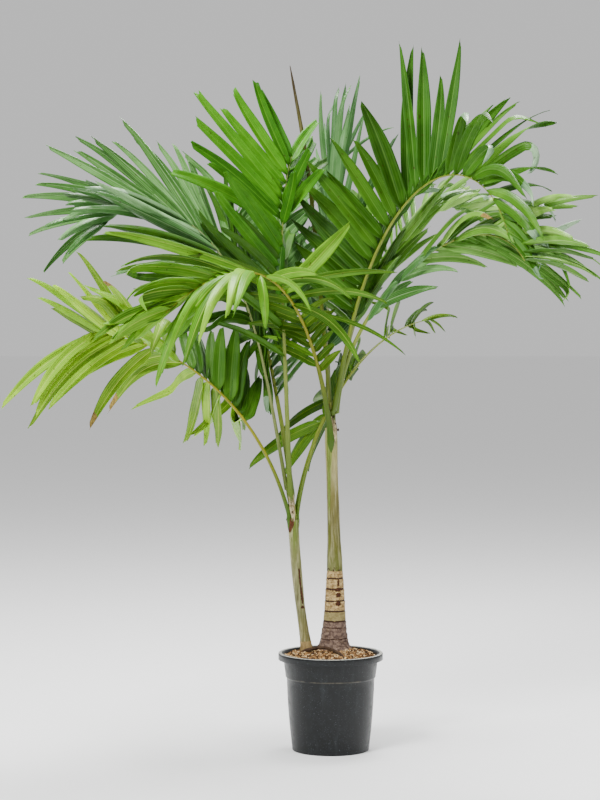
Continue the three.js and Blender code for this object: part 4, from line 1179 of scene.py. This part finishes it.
def make_soil():
    """Potting bark: a rough mound, and loose chips of three browns on it."""
    browns = [plain_bark("bark_chip_brown", "#46301a", "#6e4e2e", 4, 0.5, 0.9),
              plain_bark("bark_chip_tan", "#835e36", "#b48c5a", 4, 0.5, 0.9),
              plain_bark("bark_chip_straw", "#bc9a68", "#ecd2a4", 4, 0.4, 0.85),
              plain_bark("bark_chip_dark", "#20150c", "#3c2a1a", 4, 0.5, 0.9)]
    gap = POT["wall"] + 0.6
    profile = [(96, 8)] + [(pot_body(z) - gap, z) for z in (40, 80, 120, 160, 190)]
    profile += [(pot_neck(z) - gap, z) for z in (206, 236)] + [(121.6, 246)]
    edge, rings = SOIL["edge"], SOIL["rings"]
    stages = [(z, 0, 0, r) for r, z in profile] + [(edge, 0, 0, 121.4 * (1 - k / rings)) for k in range(1, rings - 1)]
    mound = raise_form("potting_bark_mound", stages, 120)
    for vertex in mound.data.vertices:
        if vertex.co.z > (edge - 0.5) * MM:
            vertex.co.z = soil_height(vertex.co.x / MM, vertex.co.y / MM) * MM
    mound.data.update()
    mound.data.materials.append(browns[0])
    finish_piece(mound, "potting_bark", "soil")
    scatter_chips(browns)


def scatter_chips(browns):
    """Flat five-sided chips that lie on the soil, turned and tipped each its own way."""
    points, faces, slots = [], [], []
    for chip in range(CHIPS["count"]):
        radius = CHIPS["reach"] * math.sqrt(0.5 + 0.5 * uneven(chip, 40))
        turn = math.pi * uneven(chip, 41)
        x, y = radius * math.cos(turn), radius * math.sin(turn)
        if any(math.hypot(x - stem_x, y - stem_y) < clear for stem_x, stem_y, clear in CHIPS["clear_of"]):
            continue
        size = CHIPS["smallest"] + CHIPS["larger"] * (0.5 + 0.5 * uneven(chip, 42)) ** 2.5
        stretch = np.array((1.5 + 0.9 * uneven(chip, 43), 0.8, 0.42)) * size
        yaw, tip = math.pi * uneven(chip, 44), 0.6 * uneven(chip, 45)
        a = np.array((math.cos(yaw) * math.cos(tip), math.sin(yaw) * math.cos(tip), math.sin(tip)))
        b = unit(np.cross((0, 0, 1), a))
        c = np.cross(a, b)
        centre = np.array((x, y, soil_height(x, y) + size * 0.25))
        chip_faces = tube_faces(2, 5)
        faces += shifted(chip_faces, len(points))
        for level in (-1, 1):
            for i in range(5):
                corner = 2 * math.pi * i / 5 + 0.5 * uneven(chip, 50 + i)
                shrink = 1 if level < 0 else 0.78
                points.append(centre + a * stretch[0] * shrink * math.cos(corner)
                              + b * stretch[1] * shrink * math.sin(corner) + c * stretch[2] * level)
        tone = uneven(chip, 46)
        slots += [0 if tone < -0.25 else 1 if tone < 0.35 else 2 if tone < 0.7 else 3] * len(chip_faces)
    chips = mesh_piece("bark_chips", points, faces, browns, slots, smooth=False)
    finish_piece(chips, "potting_bark")


# Stage, light and camera

def set_the_stage():
    bpy.ops.object.select_all(action="DESELECT")
    bpy.ops.mesh.primitive_plane_add(size=60, location=(0, 0, 0))
    floor = bpy.context.object
    floor.name = "floor"
    paint, _ = new_material("pale_floor", 0.9, 0.1)
    paint.node_tree.nodes["Principled BSDF"].inputs["Base Color"].default_value = linear("#f7f7f7")
    floor.data.materials.append(paint)

    world = bpy.data.worlds.new("soft_room")
    bpy.context.scene.world = world
    world.use_nodes = True
    back = world.node_tree.nodes["Background"]
    back.inputs["Color"].default_value = (1, 1, 1, 1)
    back.inputs["Strength"].default_value = 0.68

    def soft_light(name, place, aim, size, power):
        data = bpy.data.lights.new(name, "AREA")
        data.size = size
        data.energy = power
        lamp = bpy.data.objects.new(name, data)
        bpy.context.scene.collection.objects.link(lamp)
        lamp.location = place
        lamp.rotation_euler = (Vector(aim) - Vector(place)).to_track_quat("-Z", "Y").to_euler()

    soft_light("key_light", (-2.2, -3.2, 4.2), (0, 0, 1.1), 1.6, 410)
    soft_light("fill_light", (3.4, -2.6, 2.4), (0, 0, 1.0), 2.2, 60)
    soft_light("top_light", (0.4, 1.2, 4.4), (0, 0, 1.2), 1.6, 330)


def set_the_camera():
    data = bpy.data.cameras.new("camera")
    data.sensor_width = CAMERA["sensor"]
    data.lens = CAMERA["lens"]
    data.clip_end = 100
    camera = bpy.data.objects.new("camera", data)
    bpy.context.scene.collection.objects.link(camera)
    camera.location = (CAMERA["x"] * MM, -CAMERA["distance"] * MM, CAMERA["height"] * MM)
    camera.rotation_euler = (math.radians(90 - CAMERA["down"]), 0, 0)
    bpy.context.scene.camera = camera


set_the_camera()
make_pot()
make_soil()
make_root()
make_stems()
grow_fronds()
set_the_stage()

bpy.context.view_layer.update()
